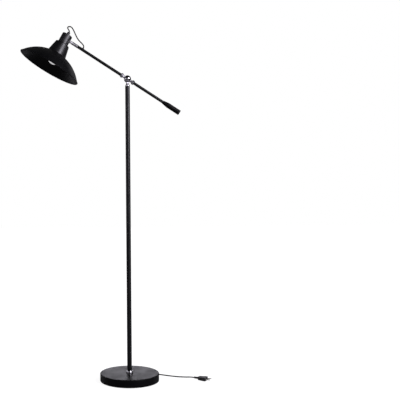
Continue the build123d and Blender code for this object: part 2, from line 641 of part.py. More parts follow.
def arm_parts():
    """The tilting arm: hub, collars, tubes, balance weight and tip. Local +Z runs to the shade."""
    ball = Sphere(BALL_R)
    down = 270
    hub = ball & Box(BALL_D, HUB_T, BALL_D)
    cut = sector(down - HUB_CUT_HALF_DEG, down + HUB_CUT_HALF_DEG, BALL_D, BALL_D)
    hub -= cut - along_y(rod(HUB_R, -BALL_D, BALL_D))
    waist_r = NECK_WAIST_D / 2
    waist_z = BALL_R + NECK_WAIST_L
    flare = (NECK_FLARE_D / 2, COLLAR_START)
    neck = turned(
        [
            Line((0, GROOVE_R), (waist_r, GROOVE_R)),
            Line((waist_r, GROOVE_R), (waist_r, waist_z)),
            TangentArc((waist_r, waist_z), flare, tangent=(0, 1)),
            Line(flare, (SPIGOT_D / 2, COLLAR_START)),
            Line((SPIGOT_D / 2, COLLAR_START), (SPIGOT_D / 2, SPIGOT_END)),
            Line((SPIGOT_D / 2, SPIGOT_END), (0, SPIGOT_END)),
            Line((0, SPIGOT_END), (0, GROOVE_R)),
        ]
    )
    hub += neck + Rot(0, 180, 0) * neck
    hub -= along_y(rod(PIVOT_D / 2 + RUN_GAP, -BALL_R, BALL_R))
    hub -= rod(CABLE_BORE_R, GROOVE_R, SPIGOT_END)
    groove = sector(360 - GROOVE_SPAN_DEG, 360, BALL_D, GROOVE_W) & along_y(
        tube(HUB_R + CABLE_GAP, GROOVE_R, -GROOVE_W, GROOVE_W)
    )
    hub -= groove

    collar_end = COLLAR_START + COLLAR_L
    collar = fillet(rod(COLLAR_D / 2, COLLAR_START, collar_end).edges(), COLLAR_EDGE_R)
    collar -= rod(SPIGOT_D / 2 + SEAT_GAP, COLLAR_START, collar_end)
    tube_start = COLLAR_START + COLLAR_SHOULDER
    collar -= rod(ARM_R + SEAT_GAP, tube_start, collar_end)

    front = tube(ARM_R, ARM_BORE_R, tube_start, FRONT_TUBE_END)
    entry = Pos(0, 0, CABLE_ENTRY) * along_x(rod(GROMMET_BODY_D / 2 + SEAT_GAP, 0, GROMMET_TOP))
    front -= entry
    rear_end = COUNTERWEIGHT_START + COUNTERWEIGHT_BORE_L - FACE_GAP
    rear = tube(ARM_R, ARM_BORE_R, tube_start, rear_end)

    weight_r = COUNTERWEIGHT_D / 2
    edge = COUNTERWEIGHT_EDGE_R
    taper_end = COUNTERWEIGHT_START + COUNTERWEIGHT_TAPER_L
    bore = (ARM_R + SEAT_GAP, COUNTERWEIGHT_START)
    bore_end = COUNTERWEIGHT_START + COUNTERWEIGHT_BORE_L
    weight = turned(
        [
            Line(bore, (COUNTERWEIGHT_NOSE_D / 2, COUNTERWEIGHT_START)),
            Line((COUNTERWEIGHT_NOSE_D / 2, COUNTERWEIGHT_START), (weight_r, taper_end)),
            Line((weight_r, taper_end), (weight_r, COUNTERWEIGHT_END - edge)),
            corner_arc((weight_r - edge, COUNTERWEIGHT_END - edge), edge, 0, 90),
            Line((weight_r - edge, COUNTERWEIGHT_END), (0, COUNTERWEIGHT_END)),
            Line((0, COUNTERWEIGHT_END), (0, bore_end)),
            Line((0, bore_end), (ARM_R + SEAT_GAP, bore_end)),
            Line((ARM_R + SEAT_GAP, bore_end), bore),
        ]
    )

    tip_r = TIP_D / 2
    tip = rod(tip_r, FRONT_TUBE_END, HINGE_REACH) + (
        rod(tip_r, HINGE_REACH, HINGE_REACH + tip_r) & Pos(0, 0, HINGE_REACH) * along_y(rod(tip_r, -tip_r, tip_r))
    )
    tip += rod(SPIGOT_D / 2, FRONT_TUBE_END - TIP_SPIGOT_L, FRONT_TUBE_END)
    slot_low = HINGE_REACH - TIP_SLOT_BACK
    slot = Box(TIP_D, TIP_SLOT, TIP_SLOT_BACK + TIP_D, align=(Align.CENTER, Align.CENTER, Align.MIN))
    tip -= Pos(0, 0, slot_low) * slot
    at_hinge = Pos(0, 0, HINGE_REACH)
    tip -= at_hinge * along_y(rod(HINGE_SCREW_D / 2 + RUN_GAP, -tip_r, tip_r))
    face_r = TIP_FACE_D / 2
    for spot in (rod(face_r, -TIP_D, -TIP_FACE), rod(face_r, TIP_FACE, TIP_D)):
        tip -= at_hinge * along_y(spot)

    screw_end = TIP_FACE + HINGE_NUT_T
    screw = rod(HINGE_SCREW_D / 2, -TIP_FACE, screw_end)
    screw += rod(HINGE_HEAD_D / 2, -TIP_FACE - HINGE_HEAD_H, -TIP_FACE)
    slot_cut = Box(TIP_D, HINGE_SLOT_W, HINGE_SLOT_DEPTH, align=(Align.CENTER, Align.CENTER, Align.MIN))
    screw -= Pos(0, 0, -TIP_FACE - HINGE_HEAD_H) * slot_cut
    nut = hexagon(HINGE_NUT_FLATS, TIP_FACE, screw_end) - rod(HINGE_SCREW_D / 2 + SEAT_GAP, TIP_FACE, screw_end)

    grommet = along_x(rod(GROMMET_D / 2, 0, GROMMET_TOP)) - rod(ARM_R + SEAT_GAP, -GROMMET_D, GROMMET_D)
    grommet += along_x(rod(GROMMET_BODY_D / 2, ARM_BORE_R, GROMMET_TOP))
    grommet -= along_x(rod(CABLE_BORE_R, 0, GROMMET_TOP))

    bend = CABLE_ENTRY_BEND_R
    route = [(GROMMET_TOP, 0, CABLE_ENTRY), (0, 0, CABLE_ENTRY), (0, 0, GROOVE_R + FACE_GAP)]
    cable = flex("arm_cable", route, [bend])
    flip = Rot(0, 180, 0)
    parts = {
        "arm_hub": hub,
        "front_collar": collar,
        "rear_collar": flip * collar,
        "front_arm_tube": front,
        "rear_arm_tube": flip * rear,
        "counterweight": flip * weight,
        "arm_tip": tip,
        "arm_grommet": Pos(0, 0, CABLE_ENTRY) * grommet,
        "arm_cable": cable,
        "hinge_screw": at_hinge * along_y(screw),
        "hinge_screw_nut": at_hinge * along_y(nut),
    }
    return {name: ARM_FRAME * shape for name, shape in parts.items()}


def shade_shell():
    """The spun shade: a bowl with a rolled rim and a tapered neck with a flat shoulder."""
    rim = Vector(SHADE_D / 2, 0)
    root = Vector(NECK_LOW_D / 2, BOWL_H)
    chord = root - rim
    reach = math.sqrt(BOWL_ARC_R**2 - (chord.length / 2) ** 2)
    centre = (rim + root) / 2 + Vector(-chord.Y, chord.X).normalized() * reach
    wall = SHADE_WALL
    inner_r = BOWL_ARC_R - wall
    inner_rim = Vector(centre.X + math.sqrt(inner_r**2 - centre.Y**2), 0)

    top = Vector(NECK_TOP_D / 2, NECK_TOP_Z)
    slope = (top - root).normalized()
    across = Vector(-slope.Y, slope.X)
    offset = root + across * wall - centre
    along = -offset.dot(slope) + math.sqrt(offset.dot(slope) ** 2 - offset.dot(offset) + inner_r**2)
    inner_root = centre + offset + slope * along
    half = (math.pi / 2 - math.atan2(-slope.X, slope.Y)) / 2
    reach_r = SHOULDER_R * math.tan(half)
    wall_end = top - slope * reach_r
    flat_start = top - Vector(reach_r, 0)
    round_centre = flat_start - Vector(0, SHOULDER_R)
    lean = math.degrees(math.atan2(wall_end.Y - round_centre.Y, wall_end.X - round_centre.X))
    under = SHOULDER_R - wall
    inner_wall_end = wall_end + across * wall
    hole_r = SHADE_HOLE_D / 2
    bowl_tangent = Vector(-centre.Y, centre.X - rim.X) * -1
    inner_tangent = Vector(-centre.Y, centre.X - inner_rim.X) * -1
    shell = turned(
        [
            TangentArc((rim.X, 0), (root.X, root.Y), tangent=(bowl_tangent.X, bowl_tangent.Y)),
            Line((root.X, root.Y), (wall_end.X, wall_end.Y)),
            corner_arc((round_centre.X, round_centre.Y), SHOULDER_R, lean, 90),
            Line((flat_start.X, NECK_TOP_Z), (hole_r, NECK_TOP_Z)),
            Line((hole_r, NECK_TOP_Z), (hole_r, NECK_TOP_Z - wall)),
            Line((hole_r, NECK_TOP_Z - wall), (flat_start.X, NECK_TOP_Z - wall)),
            corner_arc((round_centre.X, round_centre.Y), under, 90, lean),
            Line((inner_wall_end.X, inner_wall_end.Y), (inner_root.X, inner_root.Y)),
            TangentArc(
                (inner_rim.X, 0), (inner_root.X, inner_root.Y), tangent=(inner_tangent.X, inner_tangent.Y)
            ),
            Line((inner_rim.X, 0), (rim.X, 0)),
        ]
    )
    bead_r = RIM_BEAD_D / 2
    bead_face = Plane.XZ * Pos((rim.X + inner_rim.X) / 2, bead_r) * Circle(bead_r)
    return shell + revolve(bead_face, Axis.Z)


def head_parts():
    """The shade with its cap, hinge lug, lampholder and bulb. Local +Z runs up the shade's axis."""
    cap_inner = CAP_R - CAP_WALL
    edge = CAP_EDGE_R
    nipple_r = NIPPLE_D / 2
    round_centre = (CAP_R - edge, CAP_TOP_Z - edge)
    cap_under = CAP_TOP_Z - CAP_WALL
    hole_r = nipple_r + SEAT_GAP
    cap = turned(
        [
            Line((cap_inner, NECK_TOP_Z), (CAP_R, NECK_TOP_Z)),
            Line((CAP_R, NECK_TOP_Z), (CAP_R, CAP_TOP_Z - edge)),
            corner_arc(round_centre, edge, 0, 90),
            Line((CAP_R - edge, CAP_TOP_Z), (hole_r, CAP_TOP_Z)),
            Line((hole_r, CAP_TOP_Z), (hole_r, cap_under)),
            Line((hole_r, cap_under), (CAP_R - edge, cap_under)),
            corner_arc(round_centre, edge - CAP_WALL, 90, 0),
            Line((cap_inner, CAP_TOP_Z - edge), (cap_inner, NECK_TOP_Z)),
        ]
    )
    at_lug = Pos(0, 0, HINGE_Z)
    spigot_r = LUG_SPIGOT_D / 2
    cap -= at_lug * along_x(rod(spigot_r + SEAT_GAP, 0, CAP_R + edge))

    flange_out = CAP_R + LUG_FLANGE_T
    lug = along_x(rod(LUG_FLANGE_D / 2, 0, flange_out)) - rod(CAP_R + SEAT_GAP, -LUG_FLANGE_D, LUG_FLANGE_D)
    lug += along_x(rod(spigot_r, CAP_R - LUG_SPIGOT_L, flange_out))
    tongue = Box(HINGE_X - CAP_R, LUG_T, LUG_H, align=(Align.MIN, Align.CENTER, Align.CENTER))
    at_pin = Pos(HINGE_X, 0, 0)
    lug += (Pos(CAP_R, 0, 0) * tongue - rod(CAP_R + SEAT_GAP, -LUG_FLANGE_D, LUG_FLANGE_D))
    lug += at_pin * along_y(rod(LUG_R, -LUG_T / 2, LUG_T / 2))
    lug -= at_pin * along_y(rod(HINGE_SCREW_D / 2 + RUN_GAP, -LUG_T, LUG_T))
    nut_r = LUG_NUT_FLATS / math.sqrt(3)
    nut_face = math.sqrt(cap_inner**2 - nut_r**2) - SEAT_GAP
    lug_nut = hexagon(LUG_NUT_FLATS, nut_face - LUG_NUT_T, nut_face)
    lug_nut -= rod(spigot_r + SEAT_GAP, nut_face - LUG_NUT_T, nut_face)
    washer_mid = (LUG_T + TIP_SLOT) / 4
    washer = tube(
        HINGE_WASHER_D / 2,
        HINGE_SCREW_D / 2 + RUN_GAP,
        washer_mid - HINGE_WASHER_T / 2,
        washer_mid + HINGE_WASHER_T / 2,
    )
    washers = [at_lug * at_pin * along_y(washer), at_lug * at_pin * Rot(0, 0, 180) * along_y(washer)]

    skirt_r = HOLDER_SKIRT_D / 2
    flange_top = NECK_TOP_Z + HOLDER_FLANGE_T
    cavity_r = HOLDER_CAVITY_D / 2
    holder = rod(skirt_r, HOLDER_MOUTH_Z, NECK_TOP_Z) + rod(HOLDER_FLANGE_D / 2, NECK_TOP_Z, flange_top)
    holder += rod(HOLDER_BODY_D / 2, flange_top, HOLDER_BODY_TOP)
    holder += rod(HOLDER_BOSS_D / 2, HOLDER_BODY_TOP, cap_under)
    holder -= rod(cavity_r, HOLDER_MOUTH_Z, HOLDER_CAVITY_TOP)
    holder -= rod(hole_r, NIPPLE_LOW_Z, cap_under)
    holder -= rod(CABLE_BORE_R, HOLDER_CAVITY_TOP, NIPPLE_LOW_Z)
    ring_top = NECK_TOP_Z - SHADE_WALL
    ring = tube(RING_D / 2, skirt_r + SEAT_GAP, ring_top - RING_H, ring_top)
    shell = tube(cavity_r - SEAT_GAP, cavity_r - SEAT_GAP - SHELL_T, SHELL_LOW_Z, SHELL_TOP_Z)
    contact = rod(CONTACT_D / 2, BULB_TIP_Z + FACE_GAP, BULB_TIP_Z + FACE_GAP + CONTACT_T)
    contact += tube(CONTACT_D / 2, CABLE_BORE_R, BULB_TIP_Z + FACE_GAP, HOLDER_CAVITY_TOP)
    nipple = tube(nipple_r, CABLE_BORE_R, NIPPLE_LOW_Z, NIPPLE_TOP_Z)
    gland_top = CAP_TOP_Z + CABLE_GLAND_H
    dome_z = gland_top - CABLE_GLAND_DOME
    gland_r = CABLE_GLAND_D / 2
    tip = (CABLE_GLAND_TIP_D / 2, gland_top)
    gland = turned(
        [
            Line((0, CAP_TOP_Z), (gland_r, CAP_TOP_Z)),
            Line((gland_r, CAP_TOP_Z), (gland_r, dome_z)),
            TangentArc((gland_r, dome_z), tip, tangent=(0, 1)),
            Line(tip, (0, gland_top)),
            Line((0, gland_top), (0, CAP_TOP_Z)),
        ]
    )
    gland -= rod(hole_r, CAP_TOP_Z, NIPPLE_TOP_Z + FACE_GAP)
    gland -= rod(CABLE_BORE_R, CAP_TOP_Z, gland_top)

    parts = {
        "head_cable": rod(CABLE_R, HOLDER_CAVITY_TOP, gland_top),
        "shade": shade_shell(),
        "socket_cap": cap,
        "hinge_lug": at_lug * lug,
        "hinge_lug_nut": at_lug * along_x(lug_nut),
        "hinge_washers": Compound(children=washers),
        "holder_body": holder,
        "holder_ring": ring,
        "holder_shell": shell,
        "holder_contact": contact,
        "head_nipple": nipple,
        "cable_gland": gland,
        **bulb_parts(),
    }
    return {name: HEAD_FRAME * shape for name, shape in parts.items()}


def bulb_form(inset):
    """The globe of the bulb down to its open neck, drawn in by inset."""
    neck = (BULB_NECK_D / 2 - inset, BULB_NECK_Z)
    globe = corner_arc((0, BULB_CENTRE_Z), BULB_D / 2 - inset, -90, BULB_LEAVE_DEG)
    shoulder = TangentArc(globe @ 1, neck, tangent=globe % 1)
    return turned([globe, shoulder, Line(shoulder @ 1, (0, BULB_NECK_Z)), Line((0, BULB_NECK_Z), globe @ 0)])


def bulb_parts():
    """An opal globe bulb and its screw cap."""
    cap_r = BULB_CAP_D / 2
    cap = turned_points(
        (0, BULB_NECK_Z),
        (cap_r, BULB_NECK_Z),
        (cap_r, BULB_CAP_TOP_Z),
        (BULB_TIP_BASE_D / 2, (BULB_CAP_TOP_Z + BULB_TIP_Z) / 2),
        (BULB_TIP_D / 2, BULB_TIP_Z),
        (0, BULB_TIP_Z),
    )
    return {"bulb_glass": bulb_form(0) - bulb_form(BULB_WALL), "bulb_cap": cap}


def loop_cable():
    """The free loop of cable between the head's gland and the arm's grommet."""
    out = HEAD_ORIGIN + HEAD_AXIS * (CAP_TOP_Z + CABLE_GLAND_H)
    into = BALL + ARM_DIR * CABLE_ENTRY + ARM_UP * GROMMET_TOP
    chosen = [BALL + Vector(x, 0, z) for x, z in LOOP_POINTS]
    ends = [into + ARM_UP * LOOP_ENTRY_STRAIGHT, into]
    return flex("loop_cable", [out, out + HEAD_AXIS * LOOP_STRAIGHT, *chosen, *ends])


def coil_stations():
    """Points and headings along the coil at each quarter turn: in on the floor layer, out on the top one."""
    span = COIL_START_DEG - (COIL_HEADING + 90) + 360 * COIL_TURNS
    layer = math.radians(span - 180) / 2
    rate = COIL_PITCH / (2 * math.pi)
    inner_r = COIL_OUTER_R - rate * layer
    steps = [layer * i / QUARTERS_PER_LAYER for i in range(QUARTERS_PER_LAYER)]
    travels = steps + [layer, layer + math.pi / 2] + [layer + math.pi + s for s in [*steps, layer]]
    stations = []
    for travel in travels:
        climb = min(max(travel - layer, 0), math.pi)
        radius = COIL_OUTER_R - rate * travel
        slope = -rate
        rise = 0
        if travel > layer:
            radius = inner_r - rate * climb + rate * climb**2 / math.pi
            slope = -rate + 2 * rate * climb / math.pi
            rise = COIL_PITCH / 2 * math.sin(climb)
        if travel > layer + math.pi:
            radius = inner_r + rate * (travel - layer - math.pi)
            slope = rate
        height = COIL_LOW_Z + COIL_PITCH * (1 - math.cos(climb)) / 2
        angle = math.radians(COIL_START_DEG) - travel
        out = Vector(math.cos(angle), math.sin(angle), 0)
        ahead = Vector(math.sin(angle), -math.cos(angle), 0)
        place = Vector(COIL_X, COIL_Y, height) + out * radius
        heading = ahead * radius + out * slope + Vector(0, 0, rise)
        stations.append((place, heading.normalized()))
    return stations


def biarc(start, start_way, end, end_way):
    """Two arcs that leave start and reach end along the given unit headings."""
    gap = end - start
    ways = start_way + end_way
    share = 2 * (1 - start_way.dot(end_way))
    reach = (-gap.dot(ways) + math.sqrt(gap.dot(ways) ** 2 + share * gap.dot(gap))) / share
    first, last = start + start_way * reach, end - end_way * reach
    middle = (first + last) / 2
    return [TangentArc(start, middle, tangent=start_way), TangentArc(middle, end, tangent=last - first)]


def cord_coil():
    """The spare length, one unbroken tube in two layers of loops."""
    stations = coil_stations()
    first, first_way = stations[0]
    last, last_way = stations[-1]
    edges = [Line(first - first_way * CORD_END_STRAIGHT, first)]
    for (a, a_way), (b, b_way) in zip(stations, stations[1:]):
        edges += biarc(a, a_way, b, b_way)
    edges.append(Line(last, last + last_way * COIL_END_STRAIGHT))
    path = Wire(edges)
    start = Plane(first - first_way * CORD_END_STRAIGHT, z_dir=first_way)
    coil = sweep(start * Circle(CABLE_R), path=path)
    points = [edge.position_at(i / GAP_POINTS_PER_ARC) for edge in edges for i in range(GAP_POINTS_PER_ARC)]
    apart = GAP_POINTS_PER_ARC * 5
    least = min((a - b).length for i, a in enumerate(points) for b in points[i + apart :]) - CABLE_D
    share = coil.volume / (math.pi * CABLE_R**2 * path.length)
    print(f"cord_coil: length {path.length:.1f}, volume share {share:.4f}, least gap to itself {least:.2f}")
    return coil


def coil_ends():
    """Where the coil's tube starts and stops, with its headings there."""
    stations = coil_stations()
    first, first_way = stations[0]
    last, last_way = stations[-1]
    return first - first_way * CORD_END_STRAIGHT, first_way, last + last_way * COIL_END_STRAIGHT, last_way


def switch_frame():
    """The switch's own frame: +X along the cord, from where the coil's tube ends."""
    _, _, end, way = coil_ends()
    return Pos(end.X, end.Y, SWITCH_LIFT) * Rot(0, 0, math.degrees(math.atan2(way.Y, way.X)))


def switch_parts():
    """The in-line switch: a shell in two halves with a rocker on two small pins."""
    frame = switch_frame()
    mid = SWITCH_L / 2
    outline = Pos(mid, 0, 0) * RectangleRounded(SWITCH_L, SWITCH_W, SWITCH_CORNER_R)
    body = extrude(outline, SWITCH_H)
    body = fillet(body.faces().sort_by(Axis.Z)[-1].edges(), SWITCH_EDGE_R)
    inner_l, inner_w = SWITCH_L - 2 * SWITCH_WALL, SWITCH_W - 2 * SWITCH_WALL
    hollow = Pos(mid, 0, SWITCH_WALL) * extrude(
        RectangleRounded(inner_l, inner_w, SWITCH_CORNER_R - SWITCH_WALL), SWITCH_H - 2 * SWITCH_WALL
    )
    window_l, window_w = ROCKER_L + 2 * ROCKER_GAP, ROCKER_W + 2 * ROCKER_GAP
    window = Pos(mid, 0, SWITCH_H) * Box(window_l, window_w, 2 * SWITCH_WALL)
    rib_mid = ROCKER_W / 2 + ROCKER_GAP + RIB_T / 2
    rib_low = ROCKER_PIN_Z - RIB_DROP
    upright = (Align.CENTER, Align.CENTER, Align.MIN)
    rib = Box(ROCKER_L / 2, RIB_T, SWITCH_H - SWITCH_WALL - rib_low, align=upright)
    ribs = Pos(mid, rib_mid, rib_low) * rib + Pos(mid, -rib_mid, rib_low) * rib
    pin_r = ROCKER_PIN_D / 2
    at_pin = Pos(mid, 0, ROCKER_PIN_Z)
    ribs -= at_pin * along_y(rod(pin_r + RUN_GAP, -SWITCH_W, SWITCH_W))
    shell = body - hollow - window + ribs
    cord_hole = along_x(rod(CABLE_R + SEAT_GAP, -SWITCH_WALL, SWITCH_L + SWITCH_WALL))
    shell -= Pos(0, 0, SWITCH_SPLIT_Z) * cord_hole - Pos(mid, 0, 0) * Box(inner_l, SWITCH_W, 2 * SWITCH_H)
    lower_half = Box(2 * SWITCH_L, 2 * SWITCH_W, SWITCH_SPLIT_Z, align=upright)
    half = Pos(mid, 0, 0) * lower_half
    rocker_top = SWITCH_H + ROCKER_PROUD
    rocker_low = rocker_top - ROCKER_H
    rocker = Box(ROCKER_L - ROCKER_TIP_CLEAR, ROCKER_W, ROCKER_H, align=upright)
    rocker = Pos(0, 0, rocker_low - ROCKER_PIN_Z) * rocker
    pin_end = ROCKER_W / 2 + ROCKER_PIN_L
    rocker += along_y(rod(pin_r, -pin_end, pin_end))
    parts = {
        "switch_base": shell & half,
        "switch_cover": shell - half,
        "switch_rocker": at_pin * Rot(0, ROCKER_TILT, 0) * rocker,
    }
    return {name: frame * shape for name, shape in parts.items()}


def plug_frame():
    """The plug's own frame on the floor: +X along the cord, from the tip of its sleeve."""
    return Pos(PLUG_AT_X, PLUG_AT_Y, PLUG_MID_Z) * Rot(0, 0, PLUG_HEADING)


def plug_parts():
    """A flat two-pin mains plug lying on the floor."""
    sleeve_r = PLUG_SLEEVE_D / 2
    tip_r = PLUG_SLEEVE_TIP_D / 2
    sleeve = turned_points((0, 0), (tip_r, 0), (sleeve_r, PLUG_SLEEVE_L), (0, PLUG_SLEEVE_L))
    face_x = PLUG_SLEEVE_L + PLUG_L
    outline = make_face(
        Polyline(
            (PLUG_SLEEVE_L, -PLUG_BACK_W / 2),
            (face_x - PIN_SEAT, -PLUG_W / 2),
            (face_x, -PLUG_W / 2),
            (face_x, PLUG_W / 2),
            (face_x - PIN_SEAT, PLUG_W / 2),
            (PLUG_SLEEVE_L, PLUG_BACK_W / 2),
            close=True,
        )
    )
    block = extrude(outline, amount=PLUG_T / 2, both=True)
    sides = block.edges().filter_by(Axis.Z)
    block = fillet(sides, PLUG_EDGE_R)
    body = block + along_x(sleeve)
    pins = []
    for side in (-1, 1):
        at_pin = Pos(face_x, side * PIN_SPACING / 2, 0)
        body -= at_pin * along_x(rod(PIN_D / 2 + SEAT_GAP, -PIN_SEAT, 0))
        pin = rod(PIN_D / 2, -PIN_SEAT + FACE_GAP, PIN_L - PIN_D / 2)
        pin += Pos(0, 0, PIN_L - PIN_D / 2) * Sphere(PIN_D / 2)
        pins.append(at_pin * along_x(pin))
    frame = plug_frame()
    return {"plug_body": frame * body, "plug_pins": frame * Compound(children=pins)}


def cord_tie():
    """A flat strap round all the loops of the coil at one side."""
    layer_turns = (COIL_START_DEG - (COIL_HEADING + 90) + 360 * COIL_TURNS - 180) / 720
    inner_r = COIL_OUTER_R - COIL_PITCH * layer_turns - COIL_PITCH / 8 - CABLE_R - TIE_GAP
    outer_r = COIL_OUTER_R + CABLE_R + TIE_GAP
    low = COIL_LIFT - TIE_GAP
    high = COIL_HIGH_Z + CABLE_R + TIE_GAP
    hole = Box(outer_r - inner_r, 2 * TIE_W, high - low)
    band = Box(outer_r - inner_r + 2 * TIE_T, TIE_W, high - low + 2 * TIE_T)
    band = fillet(band.edges().filter_by(Axis.Y), TIE_T) - hole
    middle = Pos((inner_r + outer_r) / 2, 0, (low + high) / 2)
    return Pos(COIL_X, COIL_Y, 0) * Rot(0, 0, TIE_AT_DEG) * middle * band


def cord_parts():
    """The mains cord on the floor: lead, coil with its tie, switch, tail and plug."""
    out = Vector(math.cos(math.radians(GLAND_AZ)), math.sin(math.radians(GLAND_AZ)), 0)
    coil_start, start_way, coil_end, end_way = coil_ends()
    outlet = out * GLAND_END + Vector(0, 0, GLAND_Z)
    leave, arrive = outlet + out * LEAD_STRAIGHT, coil_start - start_way * LEAD_STRAIGHT
    lead = [outlet, leave, *LEAD_POINTS, arrive, coil_start]
    switch_end = coil_end + end_way * SWITCH_L
    plug_start = Vector(PLUG_AT_X, PLUG_AT_Y, PLUG_MID_Z)
    leave, arrive = switch_end + end_way * TAIL_STRAIGHT, plug_start - PLUG_DIR * PLUG_STRAIGHT
    tail = [switch_end, leave, *TAIL_POINTS, arrive, plug_start]
    return {
        "cord_lead": flex("cord_lead", lead),
        "cord_coil": cord_coil(),
        "cord_tie": cord_tie(),
        "cord_tail": flex("cord_tail", tail),
        **switch_parts(),
        **plug_parts(),
    }


def main():
    """Makes every piece and writes one STEP file for each."""
    os.makedirs("parts", exist_ok=True)
    parts = {
        **base_parts(),
        **pole_parts(),
        **knuckle_parts(),
        **arm_parts(),
        **head_parts(),
        "loop_cable": loop_cable(),
        **cord_parts(),
    }
    for name, shape in parts.items():
        export_step(shape, f"parts/{name}.step")
    print(len(parts), "nodes")


main()
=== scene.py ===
"""Adjustable arm floor lamp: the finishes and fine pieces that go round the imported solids."""

import logging
import math
from dataclasses import dataclass, field
from enum import Enum
from functools import cache
from typing import ClassVar

import bmesh
import bpy
import numpy as np
from mathutils import Matrix


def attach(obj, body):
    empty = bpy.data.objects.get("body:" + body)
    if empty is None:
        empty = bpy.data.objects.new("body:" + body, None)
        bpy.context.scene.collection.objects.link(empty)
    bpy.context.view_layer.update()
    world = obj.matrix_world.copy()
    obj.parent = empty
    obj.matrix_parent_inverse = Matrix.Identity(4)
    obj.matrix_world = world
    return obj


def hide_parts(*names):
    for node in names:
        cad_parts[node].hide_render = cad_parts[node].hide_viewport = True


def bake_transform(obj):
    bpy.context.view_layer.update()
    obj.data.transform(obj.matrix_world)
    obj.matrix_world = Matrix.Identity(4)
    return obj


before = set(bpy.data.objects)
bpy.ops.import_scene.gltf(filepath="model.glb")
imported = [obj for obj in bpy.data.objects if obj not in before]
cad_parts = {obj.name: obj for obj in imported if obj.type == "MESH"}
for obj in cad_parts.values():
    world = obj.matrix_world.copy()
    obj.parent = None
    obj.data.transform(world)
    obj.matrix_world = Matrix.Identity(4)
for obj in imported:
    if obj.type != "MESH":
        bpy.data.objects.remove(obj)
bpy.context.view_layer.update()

MM = 0.001
# The flex: its radius, and where it leaves the foot, as degrees from X and height. Lengths in millimetres.
FLEX_RADIUS = 2.5
OUTLET_AZIMUTH = 102.1
OUTLET_HEIGHT = 16.9
LOG = logging.getLogger("floor_lamp")
Array = np.ndarray
Pair = tuple[float, float]
Triple = tuple[float, float, float]
Colour = tuple[float, float, float]
Piece = bpy.types.Object
Socket = bpy.types.NodeSocket
Outputs = bpy.types.NodeOutputs
Tree = bpy.types.NodeTree


class Body(Enum):
    """The bodies that new pieces ride on."""

    STAND = "stand"
    ARM = "arm"
    HEAD = "head"
    ROCKER = "rocker"


class Lay(Enum):
    """The frame that a finish lays its pattern in: where it starts in millimetres, and its turn about Y."""

    UPRIGHT = ((0.0, 0.0, 0.0), 0.0)
    ARM = ((0.0, 0.0, 1286.9), -57.0)
    HEAD = ((-335.042, 0.0, 1333.842), 29.6)

    @property
    def matrix(self) -> Array:
        """The frame as a 4 by 4 matrix, in metres."""
        place, turn = self.value
        return moved(*place) @ turned("Y", turn)


def moved(x: float, y: float, z: float) -> Array:
    """A 4 by 4 matrix that shifts by millimetres."""
    shift = np.array((x, y, z)) * MM
    return np.vstack((np.column_stack((np.eye(3), shift)), (0.0, 0.0, 0.0, 1.0)))


def turned(axis: str, degrees: float) -> Array:
    """A 4 by 4 matrix that turns about an axis."""
    return np.array(Matrix.Rotation(math.radians(degrees), 4, axis))


def unit(vector: Array) -> Array:
    """A vector over its length."""
    return vector / np.linalg.norm(vector)


def heading(degrees: float) -> Array:
    """The level unit vector at an angle from X."""
    angle = math.radians(degrees)
    return np.array((math.cos(angle), math.sin(angle), 0.0))


def arc(centre: Pair, radius: float, start: float, end: float, count: int) -> Array:
    """Points on a circle: centre plus radius times cosine and sine, at angles in degrees spread evenly."""
    angles = np.radians(np.linspace(start, end, count))
    return np.array(centre) + radius * np.column_stack((np.cos(angles), np.sin(angles)))


def tangent_arc(start: Array, way: Array, end: Array, count: int) -> Array:
    """Points on the one circle that leaves start along way and passes through end.

    The centre lies on the normal at start, at the squared chord over twice the chord's share of that normal.

    Args:
        start: first point.
        way: unit heading there.
        end: last point.
        count: number of points.

    Returns:
        An array of count rows and two columns.
    """
    normal = np.array((-way[1], way[0]))
    chord = end - start
    reach = chord @ chord / (2 * chord @ normal)
    centre = start + normal * reach
    first, last = (math.degrees(math.atan2(*(point - centre)[::-1])) for point in (start, end))
    sweep = (last - first) % 360
    if reach < 0:
        sweep -= 360
    return arc(tuple(centre), abs(reach), first, first + sweep, count)


def softened(before: Array, corner: Array, after: Array, count: int) -> Array:
    """A corner rounded as a parabola: (1-t)^2 before + 2t(1-t) corner + t^2 after, for t from 0 to 1."""
    t = np.linspace(0, 1, count)[:, None]
    return (1 - t) ** 2 * before + 2 * t * (1 - t) * corner + t**2 * after


def ringed(ends: Pair, wave: float, rings: int, length: float, count: int) -> Array:
    """A ringed taper: the straight taper plus wave times half of one minus cosine, once a ring.

    Args:
        ends: the taper's first and last radius.
        wave: how far the rings stand out, or below zero how far they cut in.
        rings: number of rings.
        length: length of the taper.
        count: number of points.

    Returns:
        Rows of radius and height.
    """
    share = np.linspace(0, 1, count)
    taper = ends[0] + (ends[1] - ends[0]) * share
    radius = taper + wave * (1 - np.cos(2 * np.pi * rings * share)) / 2
    return np.column_stack((radius, length * share))


def linked(name: str, data: bpy.types.ID) -> Piece:
    """Makes an object of a mesh, curve, camera or light, in the scene.

    Args:
        name: name of the object.
        data: what it shows.

    Returns:
        The new object, at the origin.
    """
    piece = bpy.data.objects.new(name, data)
    bpy.context.scene.collection.objects.link(piece)
    return piece


def posed(piece: Piece, right: Array, up: Array, back: Array, place: Triple) -> None:
    """Stands a camera or light at a place in metres, with its X, Y and Z along three unit vectors."""
    columns = np.column_stack((right, up, back, place))
    piece.matrix_world = Matrix((*columns.tolist(), (0.0, 0.0, 0.0, 1.0)))


